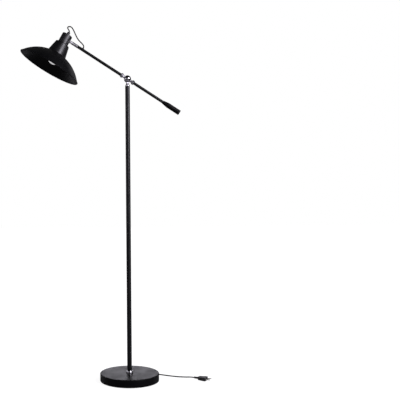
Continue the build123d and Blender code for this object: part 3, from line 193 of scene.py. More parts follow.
@dataclass
class Surface:
    """A mesh made of grids of points, each a function of two parameters, with the name of its piece."""

    MERGE: ClassVar[float] = 1e-7
    SNAP: ClassVar[float] = 1e-9
    SHARP: ClassVar[float] = math.radians(34)
    name: str
    points: list[Array] = field(default_factory=list)
    faces: list[Array] = field(default_factory=list)
    coats: list[Array] = field(default_factory=list)
    count: int = 0

    def grid(self, points: Array, place: Array, wrap_u: bool, wrap_v: bool, coat: int = 0) -> "Surface":
        """Adds a grid, with quads between neighbours in both directions.

        Args:
            points: array of u by v by 3, in millimetres.
            place: 4 by 4 matrix, in metres, that puts the grid in the lamp.
            wrap_u: joins the last row to the first.
            wrap_v: joins the last column to the first.
            coat: number of the finish that the grid takes.

        Returns:
            This surface.
        """
        rows, columns = points.shape[:2]
        placed = points.reshape(-1, 3) * MM @ place[:3, :3].T + place[:3, 3]
        u = np.arange(rows if wrap_u else rows - 1)[:, None]
        v = np.arange(columns if wrap_v else columns - 1)[None, :]
        u_next, v_next = (u + 1) % rows, (v + 1) % columns
        corners = (u * columns + v, u_next * columns + v, u_next * columns + v_next, u * columns + v_next)
        quads = np.stack([np.broadcast_to(c, (u.size, v.size)) for c in corners], axis=-1)
        self.points.append(placed)
        self.faces.append(quads.reshape(-1, 4) + self.count)
        self.coats.append(np.full(u.size * v.size, coat, np.int32))
        self.count += len(placed)
        return self

    def lathe(self, profile: Array, place: Array, closed: bool, steps: int, coat: int = 0) -> "Surface":
        """Adds a turned form: radius times cosine and sine of the angle, with height kept.

        Args:
            profile: rows of radius and height, in millimetres.
            place: 4 by 4 matrix whose Z is the turning axis.
            closed: joins the profile's end to its start.
            steps: number of steps round the axis.
            coat: number of the finish that the form takes.

        Returns:
            This surface.
        """
        angle = np.linspace(0, 2 * np.pi, steps, endpoint=False)[None, :]
        radius, height = profile[:, :1], profile[:, 1:]
        turn = (radius * np.cos(angle), radius * np.sin(angle), height + 0 * angle)
        return self.grid(np.stack(turn, axis=-1), place, closed, True, coat)

    def pill(self, halves: Triple, place: Array, power: float, steps: int) -> "Surface":
        """Adds a rounded bar: each axis is its half size times signed powers of cosines and sines.

        Args:
            halves: half sizes along X, Y and Z, in millimetres.
            place: 4 by 4 matrix of its middle.
            power: 2 for an ellipsoid, more for a squarer form.
            steps: number of steps round it.

        Returns:
            This surface.
        """
        across = np.linspace(-np.pi / 2, np.pi / 2, steps // 2 + 1)[:, None]
        round_z = np.linspace(0, 2 * np.pi, steps, endpoint=False)[None, :]

        def eased(value: Array) -> Array:
            """A cosine or sine raised to two over the power, with its sign kept."""
            value = np.where(np.abs(value) < self.SNAP, 0, value)
            return np.sign(value) * np.abs(value) ** (2 / power)

        x = halves[0] * eased(np.cos(across)) * eased(np.cos(round_z))
        y = halves[1] * eased(np.cos(across)) * eased(np.sin(round_z))
        z = halves[2] * eased(np.sin(across)) + 0 * round_z
        return self.grid(np.stack((x, y, z), axis=-1), place, False, True)

    def made(self) -> Piece:
        """Makes the object, with doubles merged and faces turned outwards.

        Returns:
            The new object, at the origin.
        """
        mesh = bpy.data.meshes.new(self.name)
        mesh.from_pydata(np.vstack(self.points).tolist(), [], np.vstack(self.faces).tolist())
        mesh.polygons.foreach_set("material_index", np.concatenate(self.coats))
        work = bmesh.new()
        work.from_mesh(mesh)
        bmesh.ops.remove_doubles(work, verts=work.verts, dist=self.MERGE)
        bmesh.ops.dissolve_degenerate(work, edges=work.edges, dist=self.MERGE)
        bmesh.ops.recalc_face_normals(work, faces=work.faces)
        work.to_mesh(mesh)
        work.free()
        mesh.shade_smooth()
        mesh.set_sharp_from_angle(angle=self.SHARP)
        return linked(self.name, mesh)


def spline(name: str, route: Array, order: int = 3, resolution: int = 8) -> Piece:
    """A smooth curve with the route's points as its control points.

    Args:
        name: name of the curve.
        route: rows of X, Y and Z, in metres.
        order: the spline's order, 3 for one that is smooth.
        resolution: steps between control points.

    Returns:
        The curve object, with no thickness yet.
    """
    curve = bpy.data.curves.new(name, "CURVE")
    curve.dimensions = "3D"
    curve.resolution_u = resolution
    line = curve.splines.new("NURBS")
    line.points.add(len(route) - 1)
    line.points.foreach_set("co", np.column_stack((route, np.ones(len(route)))).ravel())
    line.order_u = order
    line.use_endpoint_u = True
    return linked(name, curve)


@dataclass
class Nodes:
    """A short way to lay and link shader nodes in one tree."""

    tree: Tree

    @classmethod
    def of(cls, owner: bpy.types.Material | bpy.types.World) -> "Nodes":
        """Empties the node tree of a material or world.

        Args:
            owner: the material or world.

        Returns:
            Its nodes, none yet.
        """
        owner.use_nodes = True
        owner.node_tree.nodes.clear()
        return cls(owner.node_tree)

    def add(self, kind: str, inputs: dict | None = None, **settings: object) -> bpy.types.Node:
        """Adds a node.

        Args:
            kind: the node's type, without the ShaderNode in front.
            inputs: values or sockets for its inputs, by name or index.
            settings: its own properties.

        Returns:
            The new node.
        """
        node = self.tree.nodes.new("ShaderNode" + kind)
        for name, value in settings.items():
            setattr(node, name, value)
        for key, value in (inputs or {}).items():
            self.feed(node.inputs[key], value)
        return node

    def feed(self, socket: Socket, value: object) -> None:
        """Links a socket to another, or sets its value.

        Args:
            socket: the input.
            value: the socket or the value that it gets.
        """
        if isinstance(value, Socket):
            self.tree.links.new(value, socket)
        else:
            socket.default_value = value

    def sum(self, operation: str, *values: object) -> Socket:
        """The result of a Math node on the given values or sockets."""
        return self.add("Math", dict(enumerate(values)), operation=operation).outputs[0]

    def noise(self, vector: Socket, scale: object, detail: float, roughness: float = 0.5) -> Socket:
        """The height of a Noise Texture."""
        inputs = {"Vector": vector, "Scale": scale, "Detail": detail, "Roughness": roughness}
        return self.add("TexNoise", inputs).outputs[0]

    def spread(self, value: Socket, ends: Pair, to: Pair = (0.0, 1.0)) -> Socket:
        """A value mapped smoothly from one range to another."""
        ranges = {"From Min": ends[0], "From Max": ends[1], "To Min": to[0], "To Max": to[1]}
        return self.add("MapRange", {"Value": value, **ranges}, interpolation_type="SMOOTHSTEP").outputs[0]

    def blend(self, mask: Socket, first: object, second: object) -> Socket:
        """A colour between two others, by a mask."""
        return self.add("Mix", {"Factor": mask, "A": first, "B": second}, data_type="RGBA").outputs["Result"]


class Effects:
    """The effects that several finishes share, each a shader node group."""

    VECTORS = ("Vector", "Normal")
    PATCH_EDGE = (0.3, 0.7)
    FACING_UP = (0.55, 1.0)
    SPECK_SCALE = 160.0
    SPECK_EDGE = (0.42, 0.75)
    SPECK_LEVEL = (0.25, 1.0)
    STREAKS = (((9.0, 0.6, 1.0), (0.7, 0.3, 0.7)), ((0.7, 8.0, 1.2), (-0.5, 0.3, -0.5)))
    STREAK_EDGE = (0.64, 0.72)

    def __init__(self) -> None:
        """Builds each group once."""
        self.grain = self.grain_group()
        self.lines = self.lines_group()
        self.dust = self.dust_group()
        self.scuffs = self.scuffs_group()

    def started(self, name: str, inputs: str, outputs: str) -> tuple[Nodes, Outputs, bpy.types.NodeInputs]:
        """Starts a group with its sockets.

        Args:
            name: name of the group.
            inputs: names of the inputs, single values apart from VECTORS.
            outputs: names of the outputs, all single values.

        Returns:
            Its nodes, the sockets that give its inputs, and the sockets that take its outputs.
        """
        tree = bpy.data.node_groups.new(name, "ShaderNodeTree")
        for label in inputs.split():
            kind = "NodeSocketVector" if label in self.VECTORS else "NodeSocketFloat"
            tree.interface.new_socket(name=label, in_out="INPUT", socket_type=kind)
        for label in outputs.split():
            tree.interface.new_socket(name=label, in_out="OUTPUT", socket_type="NodeSocketFloat")
        given = tree.nodes.new("NodeGroupInput").outputs
        return Nodes(tree), given, tree.nodes.new("NodeGroupOutput").inputs

    def grain_group(self) -> Tree:
        """Fine grain: small noise as Height, and slow patches that shift Roughness and give a Patch mask.

        Returns:
            The group.
        """
        inputs, outputs = "Vector Grain Patches Roughness Spread", "Height Roughness Patch"
        nodes, given, out = self.started("fine_grain", inputs, outputs)
        fine = nodes.noise(given["Vector"], given["Grain"], detail=3.0)
        slow = nodes.noise(given["Vector"], given["Patches"], detail=4.0)
        patch = nodes.spread(slow, self.PATCH_EDGE)
        nodes.feed(out["Height"], fine)
        nodes.feed(out["Roughness"], nodes.sum("MULTIPLY_ADD", patch, given["Spread"], given["Roughness"]))
        nodes.feed(out["Patch"], patch)
        return nodes.tree

    def lines_group(self) -> Tree:
        """Turning lines: noise that depends on the distance from Z and the height alone.

        Returns:
            The group.
        """
        nodes, given, out = self.started("turned_lines", "Vector Lines", "Height")
        parts = nodes.add("SeparateXYZ", {"Vector": given["Vector"]}).outputs
        y_square = nodes.sum("MULTIPLY", parts["Y"], parts["Y"])
        radius = nodes.sum("SQRT", nodes.sum("MULTIPLY_ADD", parts["X"], parts["X"], y_square))
        place = nodes.add("CombineXYZ", {"X": radius, "Z": parts["Z"]}).outputs[0]
        nodes.feed(out["Height"], nodes.noise(place, given["Lines"], detail=2.0))
        return nodes.tree

    def dust_group(self) -> Tree:
        """Settled dust: where the surface looks up, broken by noise.

        Returns:
            The group.
        """
        nodes, given, out = self.started("settled_dust", "Vector Normal Amount", "Mask")
        up = nodes.add("SeparateXYZ", {"Vector": given["Normal"]}).outputs["Z"]
        level = nodes.spread(up, self.FACING_UP)
        noise = nodes.noise(given["Vector"], self.SPECK_SCALE, detail=6.0, roughness=0.7)
        specks = nodes.spread(noise, self.SPECK_EDGE, self.SPECK_LEVEL)
        nodes.feed(out["Mask"], nodes.sum("MULTIPLY", nodes.sum("MULTIPLY", level, specks), given["Amount"]))
        return nodes.tree

    def scuffs_group(self) -> Tree:
        """Fine handling marks: thin crossing streaks from two stretched noises.

        Returns:
            The group.
        """
        nodes, given, out = self.started("handling_marks", "Vector Size", "Mask")
        masks = []
        for stretch, turn in self.STREAKS:
            laid = nodes.add("Mapping", {"Vector": given["Vector"], "Rotation": turn, "Scale": stretch})
            noise = nodes.noise(laid.outputs[0], given["Size"], detail=1.0)
            masks.append(nodes.spread(noise, self.STREAK_EDGE))
        nodes.feed(out["Mask"], nodes.sum("MAXIMUM", *masks))
        return nodes.tree


@dataclass
class Draft:
    """A material in the making: its nodes, the shared effects, what its patterns read, and its shader."""

    nodes: Nodes
    effects: Effects
    spots: Outputs
    laid: Socket
    grain: Outputs
    tone: Socket
    shader: bpy.types.Node

    def placed(self, group: Tree, inputs: dict) -> Outputs:
        """Places a shared group, in the pattern's frame unless the inputs say otherwise."""
        return self.nodes.add("Group", {"Vector": self.laid, **inputs}, node_tree=group).outputs

    def feed(self, name: str, value: object) -> None:
        """Links or sets one input of the shader."""
        self.nodes.feed(self.shader.inputs[name], value)

    def relief(self, height: Socket, depth: float) -> None:
        """Puts a height, in millimetres of depth, on the shader's Normal."""
        bump = self.nodes.add("Bump", {"Height": height, "Distance": depth * MM, "Strength": 1.0})
        self.feed("Normal", bump.outputs[0])


@dataclass(frozen=True)
class Finish:
    """What every finish has: its name, the record's slot, how it takes light, its grain and its tones."""

    name: str
    slot: str
    colour: Colour
    roughness: float
    metallic: float = 0.0
    specular: float = 0.5
    grain: float = 900.0
    grain_depth: float = 0.004
    patches: float = 22.0
    spread: float = 0.08
    tones: Pair = (0.88, 1.12)

    def build(self, effects: Effects, lay: Lay) -> bpy.types.Material:
        """Makes the material for one lay of the pattern.

        Args:
            effects: the shared node groups.
            lay: the frame that the pattern follows.

        Returns:
            The material.
        """
        material = bpy.data.materials.new(f"{self.name}_{lay.name.lower()}")
        nodes = Nodes.of(material)
        spots = nodes.add("TexCoord").outputs
        (x, y, z), turn = lay.value
        start = {"Location": (x * MM, y * MM, z * MM), "Rotation": (0.0, math.radians(turn), 0.0)}
        mapping = nodes.add("Mapping", {"Vector": spots["Object"], **start}, vector_type="TEXTURE")
        laid = mapping.outputs[0]
        shine = {"Roughness": self.roughness - self.spread / 2, "Spread": self.spread}
        pattern = {"Vector": laid, "Grain": self.grain, "Patches": self.patches, **shine}
        grain = nodes.add("Group", pattern, node_tree=effects.grain).outputs
        tone = nodes.blend(grain["Patch"], *(self.tinted(share) for share in self.tones))
        plain = {"Base Color": self.tinted(1.0), "Metallic": self.metallic}
        gloss = {"Specular IOR Level": self.specular, "Roughness": grain["Roughness"]}
        shader = nodes.add("BsdfPrincipled", {**plain, **gloss})
        draft = Draft(nodes, effects, spots, laid, grain, tone, shader)
        draft.feed("Base Color", tone)
        self.dress(draft)
        nodes.add("OutputMaterial", {"Surface": shader.outputs[0]})
        return material

    def tinted(self, share: float) -> tuple[float, float, float, float]:
        """The finish's colour made lighter or darker by a share."""
        return (*(c * share for c in self.colour), 1.0)

    def dress(self, draft: Draft) -> None:
        """Adds what is special to a finish: here the grain's relief alone."""
        draft.relief(draft.grain["Height"], self.grain_depth)


@dataclass(frozen=True)
class SatinPaint(Finish):
    """Stoved satin paint: a soft fine grain, and where stated, dust where it lies flat and turning lines."""

    grain_depth: float = 0.001
    tones: Pair = (0.85, 1.15)
    dust: float = 0.0
    dust_colour: Colour = (0.32, 0.31, 0.30)
    lines: float = 0.0
    line_depth: float = 0.001

    def dress(self, draft: Draft) -> None:
        """Adds the dust to the colour, and the lines to the grain's relief.

        Args:
            draft: the material in the making.
        """
        if self.dust:
            facing = {"Vector": draft.spots["Object"], "Normal": draft.spots["Normal"]}
            dust = draft.placed(draft.effects.dust, {**facing, "Amount": self.dust})
            draft.feed("Base Color", draft.nodes.blend(dust["Mask"], draft.tone, (*self.dust_colour, 1.0)))
        height = draft.grain["Height"]
        if self.lines:
            lines = draft.placed(draft.effects.lines, {"Lines": self.lines})
            share = self.line_depth / self.grain_depth
            height = draft.nodes.sum("MULTIPLY_ADD", lines["Height"], share, height)
        draft.relief(height, self.grain_depth)


@dataclass(frozen=True)
class Plating(Finish):
    """Bright plated or bare metal: turning lines in the metal, and fine handling marks that dull it."""

    metallic: float = 1.0
    tones: Pair = (0.95, 1.03)
    lines: float = 700.0
    line_depth: float = 0.004
    mark_size: float = 160.0
    mark_dulling: float = 0.12

    def dress(self, draft: Draft) -> None:
        """Adds the marks to the roughness, and the lines as relief in place of the grain.

        Args:
            draft: the material in the making.
        """
        marks = draft.placed(draft.effects.scuffs, {"Size": self.mark_size})
        smooth = draft.grain["Roughness"]
        draft.feed("Roughness", draft.nodes.sum("MULTIPLY_ADD", marks["Mask"], self.mark_dulling, smooth))
        lines = draft.placed(draft.effects.lines, {"Lines": self.lines})
        draft.relief(lines["Height"], self.line_depth)


@dataclass(frozen=True)
class OpalGlass(Finish):
    """Opal glass: milky and smooth, with a clear skin, and a painted glow that brightens the globe in the
    bowl's shade.
    """

    tones: Pair = (0.97, 1.02)
    skin: float = 0.6
    skin_roughness: float = 0.08
    # Strength of the painted glow: the globe gives off light though the lamp is off, standing in for light
    # falling on it.
    painted_glow: float = 0.5

    def dress(self, draft: Draft) -> None:
        """Adds the clear skin and the painted glow, and no relief.

        Args:
            draft: the material in the making.
        """
        draft.feed("Coat Weight", self.skin)
        draft.feed("Coat Roughness", self.skin_roughness)
        # Painted glow: emission brightens the globe where the bowl shades it, though the lamp is off.
        draft.feed("Emission Color", self.tinted(1.0))
        draft.feed("Emission Strength", self.painted_glow)


class Palette:
    """Every finish on the lamp, and the materials made from them."""

    BLACK = (0.002, 0.002, 0.0025)
    PAINT = SatinPaint("satin_black", "black_paint", BLACK, 0.42, specular=0.3, dust=0.012, grain_depth=0.002)
    DEEP = SatinPaint(
        "satin_black_deep", "black_paint", BLACK, 0.42, specular=0.1, dust=0.012, grain_depth=0.004,
    )
    NECK = SatinPaint("satin_black_neck", "black_shade", BLACK, 0.42, specular=0.42)
    CAP = SatinPaint("satin_black_cap", "black_shade", (0.002, 0.002, 0.003), 0.42, specular=0.85)
    SPUN = SatinPaint("satin_black_spun", "black_shade", BLACK, 0.4, specular=0.13, lines=420.0)
    INSIDE = SatinPaint(
        "matt_black_inside", "black_shade", (0.0012, 0.0012, 0.0016), 0.5, specular=0.1, lines=420.0,
    )
    CHROME = Plating("chrome", "chrome", (0.44, 0.43, 0.46), 0.08)
    SATIN = Plating("satin_chrome", "chrome", (0.85, 0.84, 0.87), 0.30)
    STEEL = Plating("zinc_steel", "steel", (0.55, 0.56, 0.57), 0.34)
    BRASS = Plating("brass", "brass", (0.71, 0.49, 0.22), 0.28)
    NICKEL = Plating("nickel", "brass", (0.60, 0.58, 0.54), 0.25)
    CAP_METAL = Plating("lamp_cap_metal", "aluminium_cap", (0.68, 0.68, 0.70), 0.30)
    IRON = Finish("cast_iron", "iron", (0.09, 0.088, 0.085), 0.62, metallic=0.6, grain=500.0, grain_depth=0.1)
    RUBBER = Finish("rubber", "rubber", (0.016, 0.016, 0.017), 0.72, specular=0.3, grain_depth=0.02)
    FLEX = Finish(
        "cable_sheath", "cable", (0.013, 0.013, 0.014), 0.46, specular=0.35, grain=1400.0, patches=60.0,
    )
    MOULDED = Finish(
        "moulded_black", "black_plastic", (0.014, 0.014, 0.015), 0.45, grain=1800.0, grain_depth=0.01,
    )
    NYLON = Finish("washer_nylon", "washer_plastic", (0.62, 0.61, 0.58), 0.5)
    HOLDER = Finish("holder_black", "holder", (0.012, 0.012, 0.013), 0.38)
    OPAL = OpalGlass("opal_glass", "opal_glass", (0.92, 0.92, 0.91), 0.22)
    MARK = Finish("mark_white", "black_plastic", (0.72, 0.72, 0.70), 0.5)

    def __init__(self) -> None:
        """Builds the shared effects."""
        self.effects = Effects()

    @cache
    def material(self, finish: Finish, lay: Lay) -> bpy.types.Material:
        """The material of a finish in one lay, made when it is first asked for."""
        return finish.build(self.effects, lay)


@dataclass
class Assembly:
    """What every sub-assembly shares: the palette, the lay of its patterns, and ways to dress its pieces."""

    LAY: ClassVar[Lay] = Lay.UPRIGHT
    palette: Palette

    def dress(self, finish: Finish, *names: str, lay: Lay | None = None) -> None:
        """Gives carried-over solids a finish.

        Args:
            finish: the finish.
            names: the solids' names.
            lay: the frame of its pattern, where it isn't the assembly's own.
        """
        for name in names:
            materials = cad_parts[name].data.materials
            materials.clear()
            materials.append(self.palette.material(finish, lay or self.LAY))
            LOG.info("solid %s in %s", name, finish.name)

    def coat(self, piece: Piece, *finishes: Finish) -> Piece:
        """Gives a new piece its finishes in the order of its coats.

        Args:
            piece: the piece.
            finishes: its finishes.

        Returns:
            The piece.
        """
        for finish in finishes:
            piece.data.materials.append(self.palette.material(finish, self.LAY))
        LOG.info("piece %s in %s", piece.name, finishes[0].name)
        return piece

    def join(self, piece: Piece, body: Body, *replaced: str) -> Piece:
        """Lets a new piece ride on a body, in place of the solids that it stands for.

        Args:
            piece: the piece.
            body: the body.
            replaced: the solids' names.

        Returns:
            The piece.
        """
        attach(piece, body.value)
        if replaced:
            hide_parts(*replaced)
        return piece


@dataclass
class FootAssembly(Assembly):
    """The weighted foot, its collar, and the cord's outlet at the back. Sizes in millimetres."""

    wall_radius: float = 125.0
    lip_back: float = 120.0
    lip_front: float = 123.5
    lip_radius: float = 5.7
    body_radius: float = 5.0
    flange_radius: float = 7.0
    flange: float = 3.0
    flange_round: float = 0.8
    nose: float = 14.0
    nose_root: float = 5.9
    nose_tip: float = 4.0
    bore: float = 2.8
    rings: int = 4
    ring_depth: float = 0.55

    def outlet(self) -> Piece:
        """Builds the ringed strain relief: a profile of lip, flange and ringed nose, turned about the cord.

        Returns:
            The new piece.
        """
        start = self.wall_radius + self.flange
        back = np.array([
            (self.body_radius, self.lip_back),
            (self.lip_radius, self.lip_front),
            (self.body_radius, self.lip_front),
            (self.body_radius, self.wall_radius),
            (self.flange_radius, self.wall_radius),
        ])
        rim_centre = (self.flange_radius - self.flange_round, start - self.flange_round)
        rim = arc(rim_centre, self.flange_round, 0, 90, count=7)
        radii = (self.nose_root, self.nose_tip)
        nose = ringed(radii, -self.ring_depth, self.rings, self.nose, count=65) + (0.0, start)
        ends = np.array([(self.bore, start + self.nose), (self.bore, self.lip_back)])
        place = turned("Z", OUTLET_AZIMUTH) @ moved(0, 0, OUTLET_HEIGHT) @ turned("Y", 90)
        profile = np.vstack((back, rim, nose, ends))
        return Surface("cord_outlet").lathe(profile, place, closed=True, steps=48).made()

    def build(self) -> None:
        """Builds and dresses the foot."""
        self.dress(Palette.DEEP, "base_cover")
        self.dress(Palette.SATIN, "foot_collar")
        self.dress(Palette.IRON, "base_weight")
        self.dress(Palette.STEEL, "bottom_plate", "plate_screws", "base_washer", "base_nut", "base_stud")
        self.dress(Palette.STEEL, "clamp_screws")
        self.dress(Palette.MOULDED, "cord_clamp")
        self.dress(Palette.RUBBER, "rubber_feet")
        self.join(self.coat(self.outlet(), Palette.MOULDED), Body.STAND, "cord_gland")


class PoleAssembly(Assembly):
    """The pole in three screwed lengths, with what joins them inside."""

    def build(self) -> None:
        """Dresses the pole."""
        self.dress(Palette.PAINT, "pole_lower", "pole_middle", "pole_upper")
        self.dress(Palette.STEEL, "pole_couplings", "pole_foot_plug")
        self.dress(Palette.BRASS, "pole_top_bush")
        self.dress(Palette.FLEX, "pole_cable")


class KnuckleAssembly(Assembly):
    """The chrome ball knuckle that swivels on the pole."""

    def build(self) -> None:
        """Dresses the knuckle."""
        self.dress(Palette.CHROME, "swivel_fork", "pivot_bolt", "pivot_nut")
        self.dress(Palette.STEEL, "swivel_retainer")
        self.dress(Palette.NYLON, "swivel_washer")


class ArmAssembly(Assembly):
    """The arm: hub, collars, two tubes, balance weight and hinged tip."""

    LAY = Lay.ARM

    def build(self) -> None:
        """Dresses the arm."""
        self.dress(Palette.CHROME, "arm_hub", "front_collar", "rear_collar")
        self.dress(Palette.SATIN, "arm_tip")
        self.dress(Palette.SATIN, "hinge_screw", "hinge_screw_nut", lay=Lay.UPRIGHT)
        self.dress(Palette.PAINT, "front_arm_tube", "rear_arm_tube")
        self.dress(Palette.DEEP, "counterweight")
        self.dress(Palette.RUBBER, "arm_grommet")
        self.dress(Palette.NYLON, "friction_washers")
        self.dress(Palette.FLEX, "arm_cable")


@dataclass
class HeadAssembly(Assembly):
    """The spun shade, its cap, hinge lug, lampholder and bulb. Sizes in millimetres from the rim's plane."""

    LAY: ClassVar[Lay] = Lay.HEAD
    rim_radius: float = 138.2
    wall: float = 0.9
    bead_radius: float = 1.5
    bead_out: float = 0.6
    bead_meet: float = 0.55
    bead_turn_in: float = 20.0
    bead_turn_out: float = 25.0
    bead_clear: float = 0.3
    bowl_height: float = 66.9
    bowl_arc: float = 165.0
    root_radius: float = 41.75
    root_ease: float = 2.2
    neck_radius: float = 30.7
    neck_height: float = 118.6
    shoulder: float = 3.5
    hole_radius: float = 20.3
    shade_steps: int = 192
    globe_radius: float = 30.0
    globe_height: float = 50.0
    globe_leave: float = 38.0
    stem_radius: float = 13.5
    stem_height: float = 93.4
    bulb_steps: int = 96

    def wall_line(self, inset: float) -> Array:
        """One side of the shade's wall, from the rim up to the hole in its shoulder.

        The bowl is an arc through the rim and the root of the neck, drawn in by inset towards its centre; the
        neck is a straight taper, shifted square to itself by inset; a parabola eases the crease between them.

        Args:
            inset: distance inside the outer face.

        Returns:
            Rows of radius and height.
        """
        rim = np.array((self.rim_radius, 0.0))
        root = np.array((self.root_radius, self.bowl_height))
        chord = root - rim
        length = np.hypot(*chord)
        square = np.array((-chord[1], chord[0])) / length
        centre = (rim + root) / 2 + square * math.sqrt(self.bowl_arc**2 - (length / 2) ** 2)
        radius = self.bowl_arc - inset
        top = np.array((self.neck_radius, self.neck_height))
        slope = (top - root) / np.hypot(*(top - root))
        across = np.array((-slope[1], slope[0]))
        offset = root + across * inset - centre
        along = -offset @ slope + math.sqrt((offset @ slope) ** 2 - offset @ offset + radius**2)
        crease = centre + offset + slope * along
        first = math.degrees(math.asin((self.bead_radius - centre[1]) / radius))
        ease = math.degrees(self.root_ease / radius)
        last = math.degrees(math.atan2(crease[1] - centre[1], crease[0] - centre[0]))
        bowl = arc(tuple(centre), radius, first, last - ease, count=60)
        corner = softened(bowl[-1], crease, crease + slope * self.root_ease, count=7)
        half = (math.pi / 2 - math.atan2(-slope[0], slope[1])) / 2
        reach = self.shoulder * math.tan(half)
        round_centre = (top[0] - reach, top[1] - self.shoulder)
        lean = math.degrees(math.atan2(*(top - slope * reach - round_centre)[::-1]))
        turn = arc(round_centre, self.shoulder - inset, lean, 90, count=13)
        hole = np.array([(self.hole_radius, self.neck_height - inset)])
        return np.vstack((bowl, corner[1:], turn, hole))

    def shade(self) -> Piece:
        """Builds the shade as three turned forms: the bowl's outside, the inside with the bead, and the neck.

        The bead is a circle of its own, run from the inner wall round below the rim to the outer wall.

        Returns:
            The new piece, with the three forms as its coats 0, 1 and 2.
        """
        outer, inner = self.wall_line(0.0), self.wall_line(self.wall)
        bead_centre = ((outer[0, 0] + inner[0, 0]) / 2 + self.bead_out, self.bead_radius)
        meet = math.degrees(math.asin(self.bead_meet))
        first, last = 180 - meet - self.bead_turn_in, 360 + meet + self.bead_turn_out
        bead = arc(bead_centre, self.bead_radius, first, last, count=25)
        keep_in = inner[inner[:, 1] > bead[0, 1] + self.bead_clear]
        keep_out = outer[outer[:, 1] > bead[-1, 1] + self.bead_clear]
        above = keep_out[:, 1] > self.bowl_height
        neck = keep_out[above]
        bowl = np.vstack((bead[-1:], keep_out[~above], neck[:1]))
        inside = np.vstack((neck[-1:], keep_in[::-1], bead))
        surface = Surface("shade_shell")
        for coat, profile in enumerate((bowl, inside, neck)):
            surface.lathe(profile, self.LAY.matrix, False, self.shade_steps, coat)
        return surface.made()

    def bulb(self) -> Piece:
        """Builds the globe: a circle from its foot, then the one arc that runs on from it to the stem.

        Returns:
            The new piece.
        """
        globe = arc((0.0, self.globe_height), self.globe_radius, -90, self.globe_leave, count=40)
        globe[0, 0] = 0.0
        leave = math.radians(self.globe_leave)
        way = np.array((-math.sin(leave), math.cos(leave)))
        stem = np.array((self.stem_radius, self.stem_height))
        shoulder = tangent_arc(globe[-1], way, stem, count=20)
        profile = np.vstack((globe, shoulder[1:], [(0.0, self.stem_height)]))
        return Surface("bulb_globe").lathe(profile, self.LAY.matrix, False, self.bulb_steps).made()

    def build(self) -> None:
        """Builds and dresses the head."""
        shade = self.coat(self.shade(), Palette.SPUN, Palette.INSIDE, Palette.NECK)
        self.join(shade, Body.HEAD, "shade")
        self.join(self.coat(self.bulb(), Palette.OPAL), Body.HEAD, "bulb_glass")
        self.dress(Palette.CAP, "socket_cap")
        self.dress(Palette.SATIN, "hinge_lug")
        self.dress(Palette.STEEL, "hinge_lug_nut", "head_nipple")
        self.dress(Palette.NYLON, "hinge_washers")
        self.dress(Palette.HOLDER, "holder_body", "holder_ring")
        self.dress(Palette.BRASS, "holder_shell", "holder_contact")
        self.dress(Palette.CAP_METAL, "bulb_cap")
        self.dress(Palette.MOULDED, "cable_gland")
        self.dress(Palette.FLEX, "head_cable")


@dataclass
class LoopCable(Assembly):
    """The free loop of cable from the gland to the arm. Points are X and Z from the ball, in millimetres."""

    radius: float = FLEX_RADIUS
    gland_straight: float = 3.5
    gland_top: float = 176.4
    entry_straight: float = 4.0
    entry: float = 229.6
    entry_rise: float = 7.8
    ring_steps: int = 20
    points: tuple[Pair, ...] = (
        (-252.6, 213.0),
        (-255.6, 220.6),
        (-248.4, 225.0),
        (-238.4, 223.0),
        (-231.0, 212.0),
        (-225.0, 199.0),
        (-218.4, 183.6),
        (-209.8, 167.8),
        (-198.0, 156.0),
        (-187.0, 144.0),
    )

    def route(self) -> Array:
        """The cable's control points, from the gland to the arm.

        Returns:
            Rows of X, Y and Z, in metres.
        """
        head, arm = Lay.HEAD.matrix, Lay.ARM.matrix
        out = [head @ (0, 0, (self.gland_top + s) * MM, 1) for s in (0, self.gland_straight)]
        rises = (self.entry_rise + self.entry_straight, self.entry_rise)
        into = [arm @ (rise * MM, 0, self.entry * MM, 1) for rise in rises]
        ball = Lay.ARM.value[0]
        chosen = [(ball[0] + x, 0.0, ball[2] + z) for x, z in self.points]
        return np.vstack(([p[:3] for p in out], np.array(chosen) * MM, [p[:3] for p in into]))

    def path(self) -> Array:
        """Reads points from the smooth line that the route controls.

        Returns:
            Rows of X, Y and Z, in metres.
        """
        guide = spline("loop_guide", self.route())
        line = bpy.data.meshes.new_from_object(guide)
        path = np.zeros(len(line.vertices) * 3)
        line.vertices.foreach_get("co", path)
        bpy.data.objects.remove(guide)
        bpy.data.meshes.remove(line)
        return path.reshape(-1, 3)

    def tube(self, path: Array) -> Piece:
        """Builds the cable: a circle carried along the path, square to it, with a flat cap at each end.

        Args:
            path: the smooth line.

        Returns:
            The new piece.
        """
        way = np.gradient(path, axis=0)
        way /= np.linalg.norm(way, axis=1)[:, None]
        side = np.array((0.0, 1.0, 0.0))
        across = np.cross(way, side)
        angle = np.linspace(0, 2 * np.pi, self.ring_steps, endpoint=False)[None, :, None]
        ring = across[:, None] * np.cos(angle) + side * np.sin(angle)
        skin = path[:, None] + self.radius * MM * ring
        first, last = (end[:, None].repeat(self.ring_steps, 1) for end in (path[:1], path[-1:]))
        closed = np.concatenate((first, skin, last))
        return Surface("loop_flex").grid(closed / MM, np.eye(4), False, True).made()

    def build(self) -> None:
        path = self.path()
        cable = self.coat(self.tube(path), Palette.FLEX)
        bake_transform(cable)
        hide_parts("loop_cable")


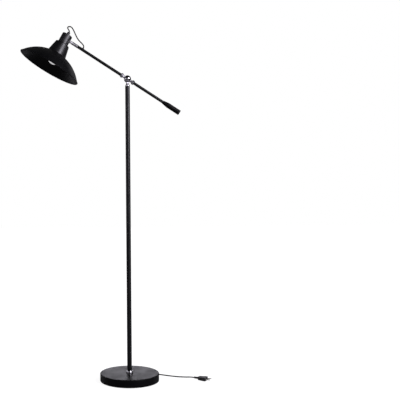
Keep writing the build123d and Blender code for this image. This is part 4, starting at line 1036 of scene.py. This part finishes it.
@dataclass
class MainsCord(Assembly):
    """The mains cord on the floor with its coil, tie, switch and plug. Sizes in millimetres."""

    radius: float = FLEX_RADIUS
    bevel_steps: int = 4
    outlet_reach: float = 142.0
    lead_straight: float = 10.3
    lead: tuple[Triple, ...] = ((-32.5, 158.7, 13.5), (-31.7, 166.8, 7.1))
    coil_centre: Pair = (12.0, 176.1)
    coil_radius: float = 38.0
    coil_pitch: float = 5.6
    coil_low: float = 3.7
    coil_start: float = 158.0
    coil_start_straight: float = 5.0
    coil_turns: int = 8
    points_per_turn: int = 20
    coil_end_straight: float = 22.0
    coil_heading: float = -54.0
    switch_length: float = 62.0
    tail_straight: float = 13.0
    tail: tuple[Triple, ...] = (
        (110.6, 109.6, 5.9),
        (121.0, 92.5, 2.6),
        (156.4, 67.0, 2.6),
        (206.5, 37.0, 2.6),
        (242.2, 22.6, 3.9),
    )
    plug_at: Triple = (276.5, 2.3, 6.95)
    plug_heading: float = -31.4
    plug_straight: float = 14.0
    plug_half: float = 6.85
    tie_at: float = 263.0
    tie_width: float = 6.0
    tie_thick: float = 0.8
    tie_gap: float = 0.3
    tie_tab: float = 17.0
    tab_rise: float = 1.5
    tab_swell: float = 0.05
    sleeve: float = 20.0
    sleeve_root: float = 4.2
    sleeve_tip: float = 3.3
    sleeve_rings: int = 6
    sleeve_skin: float = 0.15
    sleeve_clear: float = 0.1
    ring_height: float = 0.55
    ridge_count: int = 5
    ridge_half: Triple = (0.75, 5.0, 0.6)
    ridge_start: float = 9.0
    ridge_pitch: float = 3.0
    ridge_growth: float = 0.9
    ridge_sink: float = 0.1
    rocker_pin: float = 12.1
    rocker_tilt: float = 7.0
    rocker_face: float = 4.8
    mark_offset: float = 5.0
    bar_half: Triple = (0.4, 1.9, 0.16)
    circle_radius: float = 1.6
    circle_half: Pair = (0.38, 0.16)
    circle_points: int = 24

    @property
    def coil_span(self) -> float:
        """How far the coil turns in all, in degrees."""
        return self.coil_start - (self.coil_heading + 90) + 360 * self.coil_turns

    @property
    def coil_rate(self) -> float:
        """How much the coil's radius changes in a radian."""
        return self.coil_pitch / (2 * math.pi)

    @property
    def way(self) -> Array:
        """The unit heading in which the cord leaves the coil."""
        return self.coil_way(self.coil_heading + 90, self.coil_rate)

    @property
    def switch_start(self) -> Array:
        """Where the cord enters the switch."""
        return self.coil()[-1] + self.way * self.coil_end_straight

    @property
    def plug_place(self) -> Array:
        """The plug's frame at the tip of its sleeve, with X along the cord."""
        return moved(*self.plug_at) @ turned("Z", self.plug_heading)

    def coil(self) -> Array:
        """The coil's points: wound inwards on the floor, up half a turn, and outwards on top.

        The angle falls evenly from the start. The radius falls by one pitch a turn, eases through its least
        on the climb, and grows by one pitch a turn. The climb's height is half of one minus cosine.

        Returns:
            Rows of X, Y and Z.
        """
        span = math.radians(self.coil_span)
        travel = np.linspace(0, span, round(span / (2 * math.pi) * self.points_per_turn) + 1)
        layer = (span - math.pi) / 2
        rate = self.coil_rate
        climb = np.clip(travel - layer, 0, math.pi)
        least = self.coil_radius - rate * layer
        inward = self.coil_radius - rate * travel
        turning = least - rate * climb + rate * climb**2 / math.pi
        outward = least + rate * (travel - layer - math.pi)
        radius = np.where(travel <= layer, inward, np.where(travel <= layer + math.pi, turning, outward))
        angle = math.radians(self.coil_start) - travel
        x = self.coil_centre[0] + radius * np.cos(angle)
        y = self.coil_centre[1] + radius * np.sin(angle)
        z = self.coil_low + self.coil_pitch * (1 - np.cos(climb)) / 2
        return np.column_stack((x, y, z))

    def coil_way(self, degrees: float, slope: float) -> Array:
        """The unit heading of the clockwise coil at an angle, where its radius changes by slope a radian."""
        outwards = heading(degrees)
        return unit(np.array((outwards[1], -outwards[0], 0.0)) * self.coil_radius + outwards * slope)

    def route(self) -> Array:
        """The whole cord's control points, from the outlet to the plug's sleeve.

        Returns:
            Rows of X, Y and Z, in metres.
        """
        out, plug_way = heading(OUTLET_AZIMUTH), heading(self.plug_heading)
        outlet = out * self.outlet_reach + (0, 0, OUTLET_HEIGHT)
        coil = self.coil()
        enter = self.coil_way(self.coil_start, -self.coil_rate)
        coil_lead = coil[0] - enter * self.coil_start_straight
        switch_end = self.switch_start + self.way * self.switch_length
        plug = np.array(self.plug_at)
        points = [
            [outlet, outlet + out * self.lead_straight],
            self.lead,
            [coil_lead - enter * self.lead_straight, coil_lead],
            coil,
            [self.switch_start, switch_end],
            [switch_end + self.way * self.tail_straight],
            self.tail,
            [plug - plug_way * self.plug_straight, plug],
        ]
        return np.vstack([np.array(p, float) for p in points]) * MM

    def strap(self) -> Piece:
        """Builds the tie: a flat band carried round a rounded rectangle, with a tab that laps over its top.

        Each edge line of the band is the rectangle offset outwards. The tab is a flat rounded bar on top.

        Returns:
            The new piece.
        """
        # The two layers share what the climb's half turn leaves. The climb dips an eighth of a pitch more.
        layer_turns = (self.coil_span - 180) / 720
        least = self.coil_radius - self.coil_pitch * layer_turns - self.coil_pitch / 8
        inner = least - self.radius - self.tie_gap
        outer = self.coil_radius + self.radius + self.tie_gap
        low = self.coil_low - self.radius - self.tie_gap
        high = self.coil_low + self.coil_pitch + self.radius + self.tie_gap
        corner = self.radius
        middle_x, middle_z = (inner + outer) / 2, (low + high) / 2
        bends = []
        for x, z, start in ((outer, high, 0), (inner, high, 90), (inner, low, 180), (outer, low, 270)):
            centre = (x - math.copysign(corner, x - middle_x), z - math.copysign(corner, z - middle_z))
            bends.append((centre, start))

        def loop(lift: float) -> Array:
            """The rounded rectangle at a distance outside the bundle."""
            return np.vstack([arc(spot, corner + lift, start, start + 90, count=9) for spot, start in bends])

        half, thick = self.tie_width / 2, self.tie_thick
        edges = [(loop(lift), y) for lift, y in ((0.0, -half), (thick, -half), (thick, half), (0.0, half))]
        band = np.stack([np.column_stack((e[:, 0], np.full(len(e), y), e[:, 1])) for e, y in edges], axis=1)
        place = moved(*self.coil_centre, 0) @ turned("Z", self.tie_at)
        tab = (self.tie_tab / 2, half, thick / 2 + self.tab_swell)
        tab_place = place @ moved(middle_x, 0.0, high + self.tab_rise * thick)
        surface = Surface("cord_strap").grid(band, place, True, True)
        return surface.pill(tab, tab_place, power=7.0, steps=40).made()

    def sleeve_relief(self) -> Piece:
        """Builds the plug's strain relief: a ringed taper turned about the cord, over the solid sleeve.

        Returns:
            The new piece.
        """
        radii = (self.sleeve_tip + self.sleeve_skin, self.sleeve_root + self.sleeve_skin)
        skin = ringed(radii, self.ring_height, self.sleeve_rings, self.sleeve, count=97)
        bore = self.radius + self.sleeve_clear
        profile = np.vstack((skin, [(bore, self.sleeve), (bore, 0.0)]))
        place = self.plug_place @ turned("Y", 90)
        return Surface("plug_sleeve_rings").lathe(profile, place, closed=True, steps=40).made()

    def grip(self) -> Piece:
        """Builds the plug's finger grips: rounded bars across its top, each wider than the last.

        Returns:
            The new piece.
        """
        surface = Surface("plug_grip")
        long, wide, high = self.ridge_half
        for i in range(self.ridge_count):
            along = self.sleeve + self.ridge_start + self.ridge_pitch * i
            place = self.plug_place @ moved(along, 0, self.plug_half - self.ridge_sink)
            surface.pill((long, wide + self.ridge_growth * i, high), place, power=3.0, steps=28)
        return surface.made()

    def marks(self) -> Piece:
        """Builds the rocker's two marks: a rounded bar, and a ring that is an ellipse turned about an axis.

        Returns:
            The new piece.
        """
        x, y = self.switch_start[:2]
        switch = moved(x, y, 0) @ turned("Z", math.degrees(math.atan2(self.way[1], self.way[0])))
        place = switch @ moved(self.switch_length / 2, 0, self.rocker_pin) @ turned("Y", self.rocker_tilt)
        bar_place = place @ moved(-self.mark_offset, 0, self.rocker_face)
        circle_place = place @ moved(self.mark_offset, 0, self.rocker_face)
        circle = arc((0.0, 0.0), 1.0, 0, 360 - 360 / self.circle_points, self.circle_points)
        section = circle * self.circle_half + (self.circle_radius, 0.0)
        surface = Surface("rocker_marks").pill(self.bar_half, bar_place, power=4.0, steps=20)
        return surface.lathe(section, circle_place, closed=True, steps=48).made()

    def build(self) -> None:
        """Builds and dresses the cord and what is on it."""
        route = self.route()
        cord = self.coat(spline("mains_cord", route), Palette.FLEX)
        cord.data.bevel_depth = self.radius * MM
        cord.data.bevel_resolution = self.bevel_steps
        cord.data.use_fill_caps = True
        self.join(cord, Body.STAND, "cord_lead", "cord_coil", "cord_tail")
        strap = self.join(self.coat(self.strap(), Palette.RUBBER), Body.STAND, "cord_tie")
        rings = self.join(self.coat(self.sleeve_relief(), Palette.MOULDED), Body.STAND)
        grip = self.join(self.coat(self.grip(), Palette.MOULDED), Body.STAND)
        marks = self.join(self.coat(self.marks(), Palette.MARK), Body.ROCKER)
        self.dress(Palette.MOULDED, "switch_base", "switch_cover", "switch_rocker", "plug_body")
        self.dress(Palette.NICKEL, "plug_pins")


@dataclass(frozen=True)
class Softbox:
    """A rectangular softbox: its place, the point that it faces, its width and height, and its watts."""

    name: str
    place: Triple
    aim: Triple
    size: Pair
    power: float
    colour: Colour = (0.93, 0.91, 1.0)

    def build(self) -> None:
        """Adds the softbox, which the camera doesn't see."""
        light = bpy.data.lights.new(self.name, "AREA")
        light.shape = "RECTANGLE"
        light.size, light.size_y = self.size
        light.energy = self.power
        light.color = self.colour
        back = unit(np.array(self.place) - np.array(self.aim))
        right = unit(np.cross((0.0, 0.0, 1.0), back))
        lamp = linked(self.name, light)
        posed(lamp, right, np.cross(back, right), back, self.place)
        lamp.visible_camera = False


@dataclass
class Studio:
    """The white studio: camera, floor, surrounding light and softboxes. Places in metres."""

    SOFTBOXES: ClassVar[tuple[Softbox, ...]] = (
        Softbox("key_softbox", (1.7, -1.8, 1.9), (-0.1, 0.0, 1.1), (0.9, 1.5), 95.0),
        Softbox("fill_softbox", (-2.4, -1.6, 1.6), (0.0, 0.0, 0.9), (0.8, 1.6), 10.0),
        Softbox("left_softbox", (-2.37, 1.2, 1.47), (-0.33, 0.0, 1.35), (1.4, 1.0), 10.0),
        Softbox("right_softbox", (1.31, 1.83, 2.2), (-0.33, 0.0, 1.35), (1.2, 1.0), 2.4),
        Softbox("low_softbox", (0.10, 1.41, 0.44), (-0.45, 0.0, 1.40), (0.55, 0.55), 1.6),
        Softbox("front_softbox", (0.2, -2.5, 2.13), (-0.2, 0.0, 1.42), (1.4, 0.8), 4.5),
        Softbox("back_softbox", (0.3, 4.5, 1.15), (0.0, 0.0, 0.03), (3.2, 1.2), 15.0),
    )
    camera_at: Triple = (-0.1898, -2.6629, 0.7073)
    yaw: float = 3.315
    pitch: float = 1.295
    roll: float = -0.416
    shift: float = 0.2
    focal_pixels: float = 624.5
    image_pixels: float = 400.0
    sensor: float = 36.0
    view_end: float = 200.0
    floor_half: float = 30.0
    floor_colour: Colour = (0.25, 0.25, 0.25)
    floor_lift: float = 0.87
    floor_ends: Pair = (0.6, 2.2)
    world_lean: float = 0.35
    world_ends: Pair = (0.2, 0.95)
    dim: float = 0.02
    mirrored: float = 0.08

    def camera(self) -> None:
        """Places the camera by its yaw, pitch and roll."""
        yaw, pitch, roll = (math.radians(a) for a in (self.yaw, self.pitch, self.roll))
        ahead = np.array((math.sin(yaw) * math.cos(pitch), math.cos(yaw) * math.cos(pitch), math.sin(pitch)))
        level = np.array((math.cos(yaw), -math.sin(yaw), 0.0))
        upright = np.cross(level, ahead)
        right = level * math.cos(roll) + upright * math.sin(roll)
        up = upright * math.cos(roll) - level * math.sin(roll)
        lens = bpy.data.cameras.new("camera")
        lens.sensor_width = self.sensor
        lens.lens = self.focal_pixels / self.image_pixels * self.sensor
        lens.shift_x = self.shift
        lens.clip_end = self.view_end
        camera = linked("camera", lens)
        posed(camera, right, up, -ahead, self.camera_at)
        bpy.context.scene.camera = camera

    def surround(self) -> None:
        """Sets the world: white to the camera and through glass, and for other rays dim in front of the lamp.

        Behind the lamp it rises to white for soft light, and to a dark grey for mirrored rays.
        """
        world = bpy.data.worlds.new("studio")
        nodes = Nodes.of(world)
        parts = nodes.add("SeparateXYZ", {"Vector": nodes.add("TexCoord").outputs["Generated"]}).outputs
        behind = nodes.sum("MULTIPLY_ADD", parts["Z"], self.world_lean, parts["Y"])
        ray = nodes.add("LightPath").outputs
        soft = nodes.spread(behind, self.world_ends, (self.dim, 1.0))
        mirrored = nodes.spread(behind, self.world_ends, (self.dim, self.mirrored))
        level = nodes.blend(ray["Is Glossy Ray"], soft, mirrored)
        seen = nodes.sum("MAXIMUM", ray["Is Camera Ray"], ray["Is Transmission Ray"])
        sky = nodes.add("Background", {"Color": nodes.sum("MAXIMUM", level, seen), "Strength": 1.0})
        nodes.add("OutputWorld", {"Surface": sky.outputs[0]})
        bpy.context.scene.world = world

    def floor(self) -> None:
        """A wide pale floor that keeps the lamp's shadow and looks as white as the surround to the camera."""
        half = self.floor_half / MM
        corners = np.array([[(x, y, 0.0) for y in (-half, half)] for x in (-half, half)])
        ground = Surface("studio_floor").grid(corners, np.eye(4), False, False).made()
        material = bpy.data.materials.new("studio_floor")
        nodes = Nodes.of(material)
        paper = nodes.add("BsdfDiffuse", {"Color": (*self.floor_colour, 1.0)})
        ray = nodes.add("LightPath").outputs["Is Camera Ray"]
        spot = nodes.add("TexCoord").outputs["Object"]
        distance = nodes.add("VectorMath", {0: spot}, operation="LENGTH").outputs["Value"]
        painted_glow = nodes.spread(distance, self.floor_ends, (self.floor_lift, 1.0))
        lift = nodes.add("Emission", {"Strength": nodes.sum("MULTIPLY", ray, painted_glow)})
        both = nodes.add("AddShader", {0: paper.outputs[0], 1: lift.outputs[0]})
        nodes.add("OutputMaterial", {"Surface": both.outputs[0]})
        ground.data.materials.append(material)

    def build(self) -> None:
        """Sets up the whole studio."""
        self.camera()
        self.surround()
        self.floor()
        for softbox in self.SOFTBOXES:
            softbox.build()
        bpy.context.scene.view_settings.view_transform = "Standard"


def main() -> None:
    """Builds the studio and the lamp."""
    logging.basicConfig(level=logging.INFO, format="%(name)s: %(message)s")
    Studio().build()
    palette = Palette()
    assemblies = (
        MainsCord(palette),
        LoopCable(palette),
        FootAssembly(palette),
        PoleAssembly(palette),
        KnuckleAssembly(palette),
        ArmAssembly(palette),
        HeadAssembly(palette),
    )
    for assembly in assemblies:
        assembly.build()
        LOG.info("%s built", type(assembly).__name__)


if __name__ == "__main__":
    main()
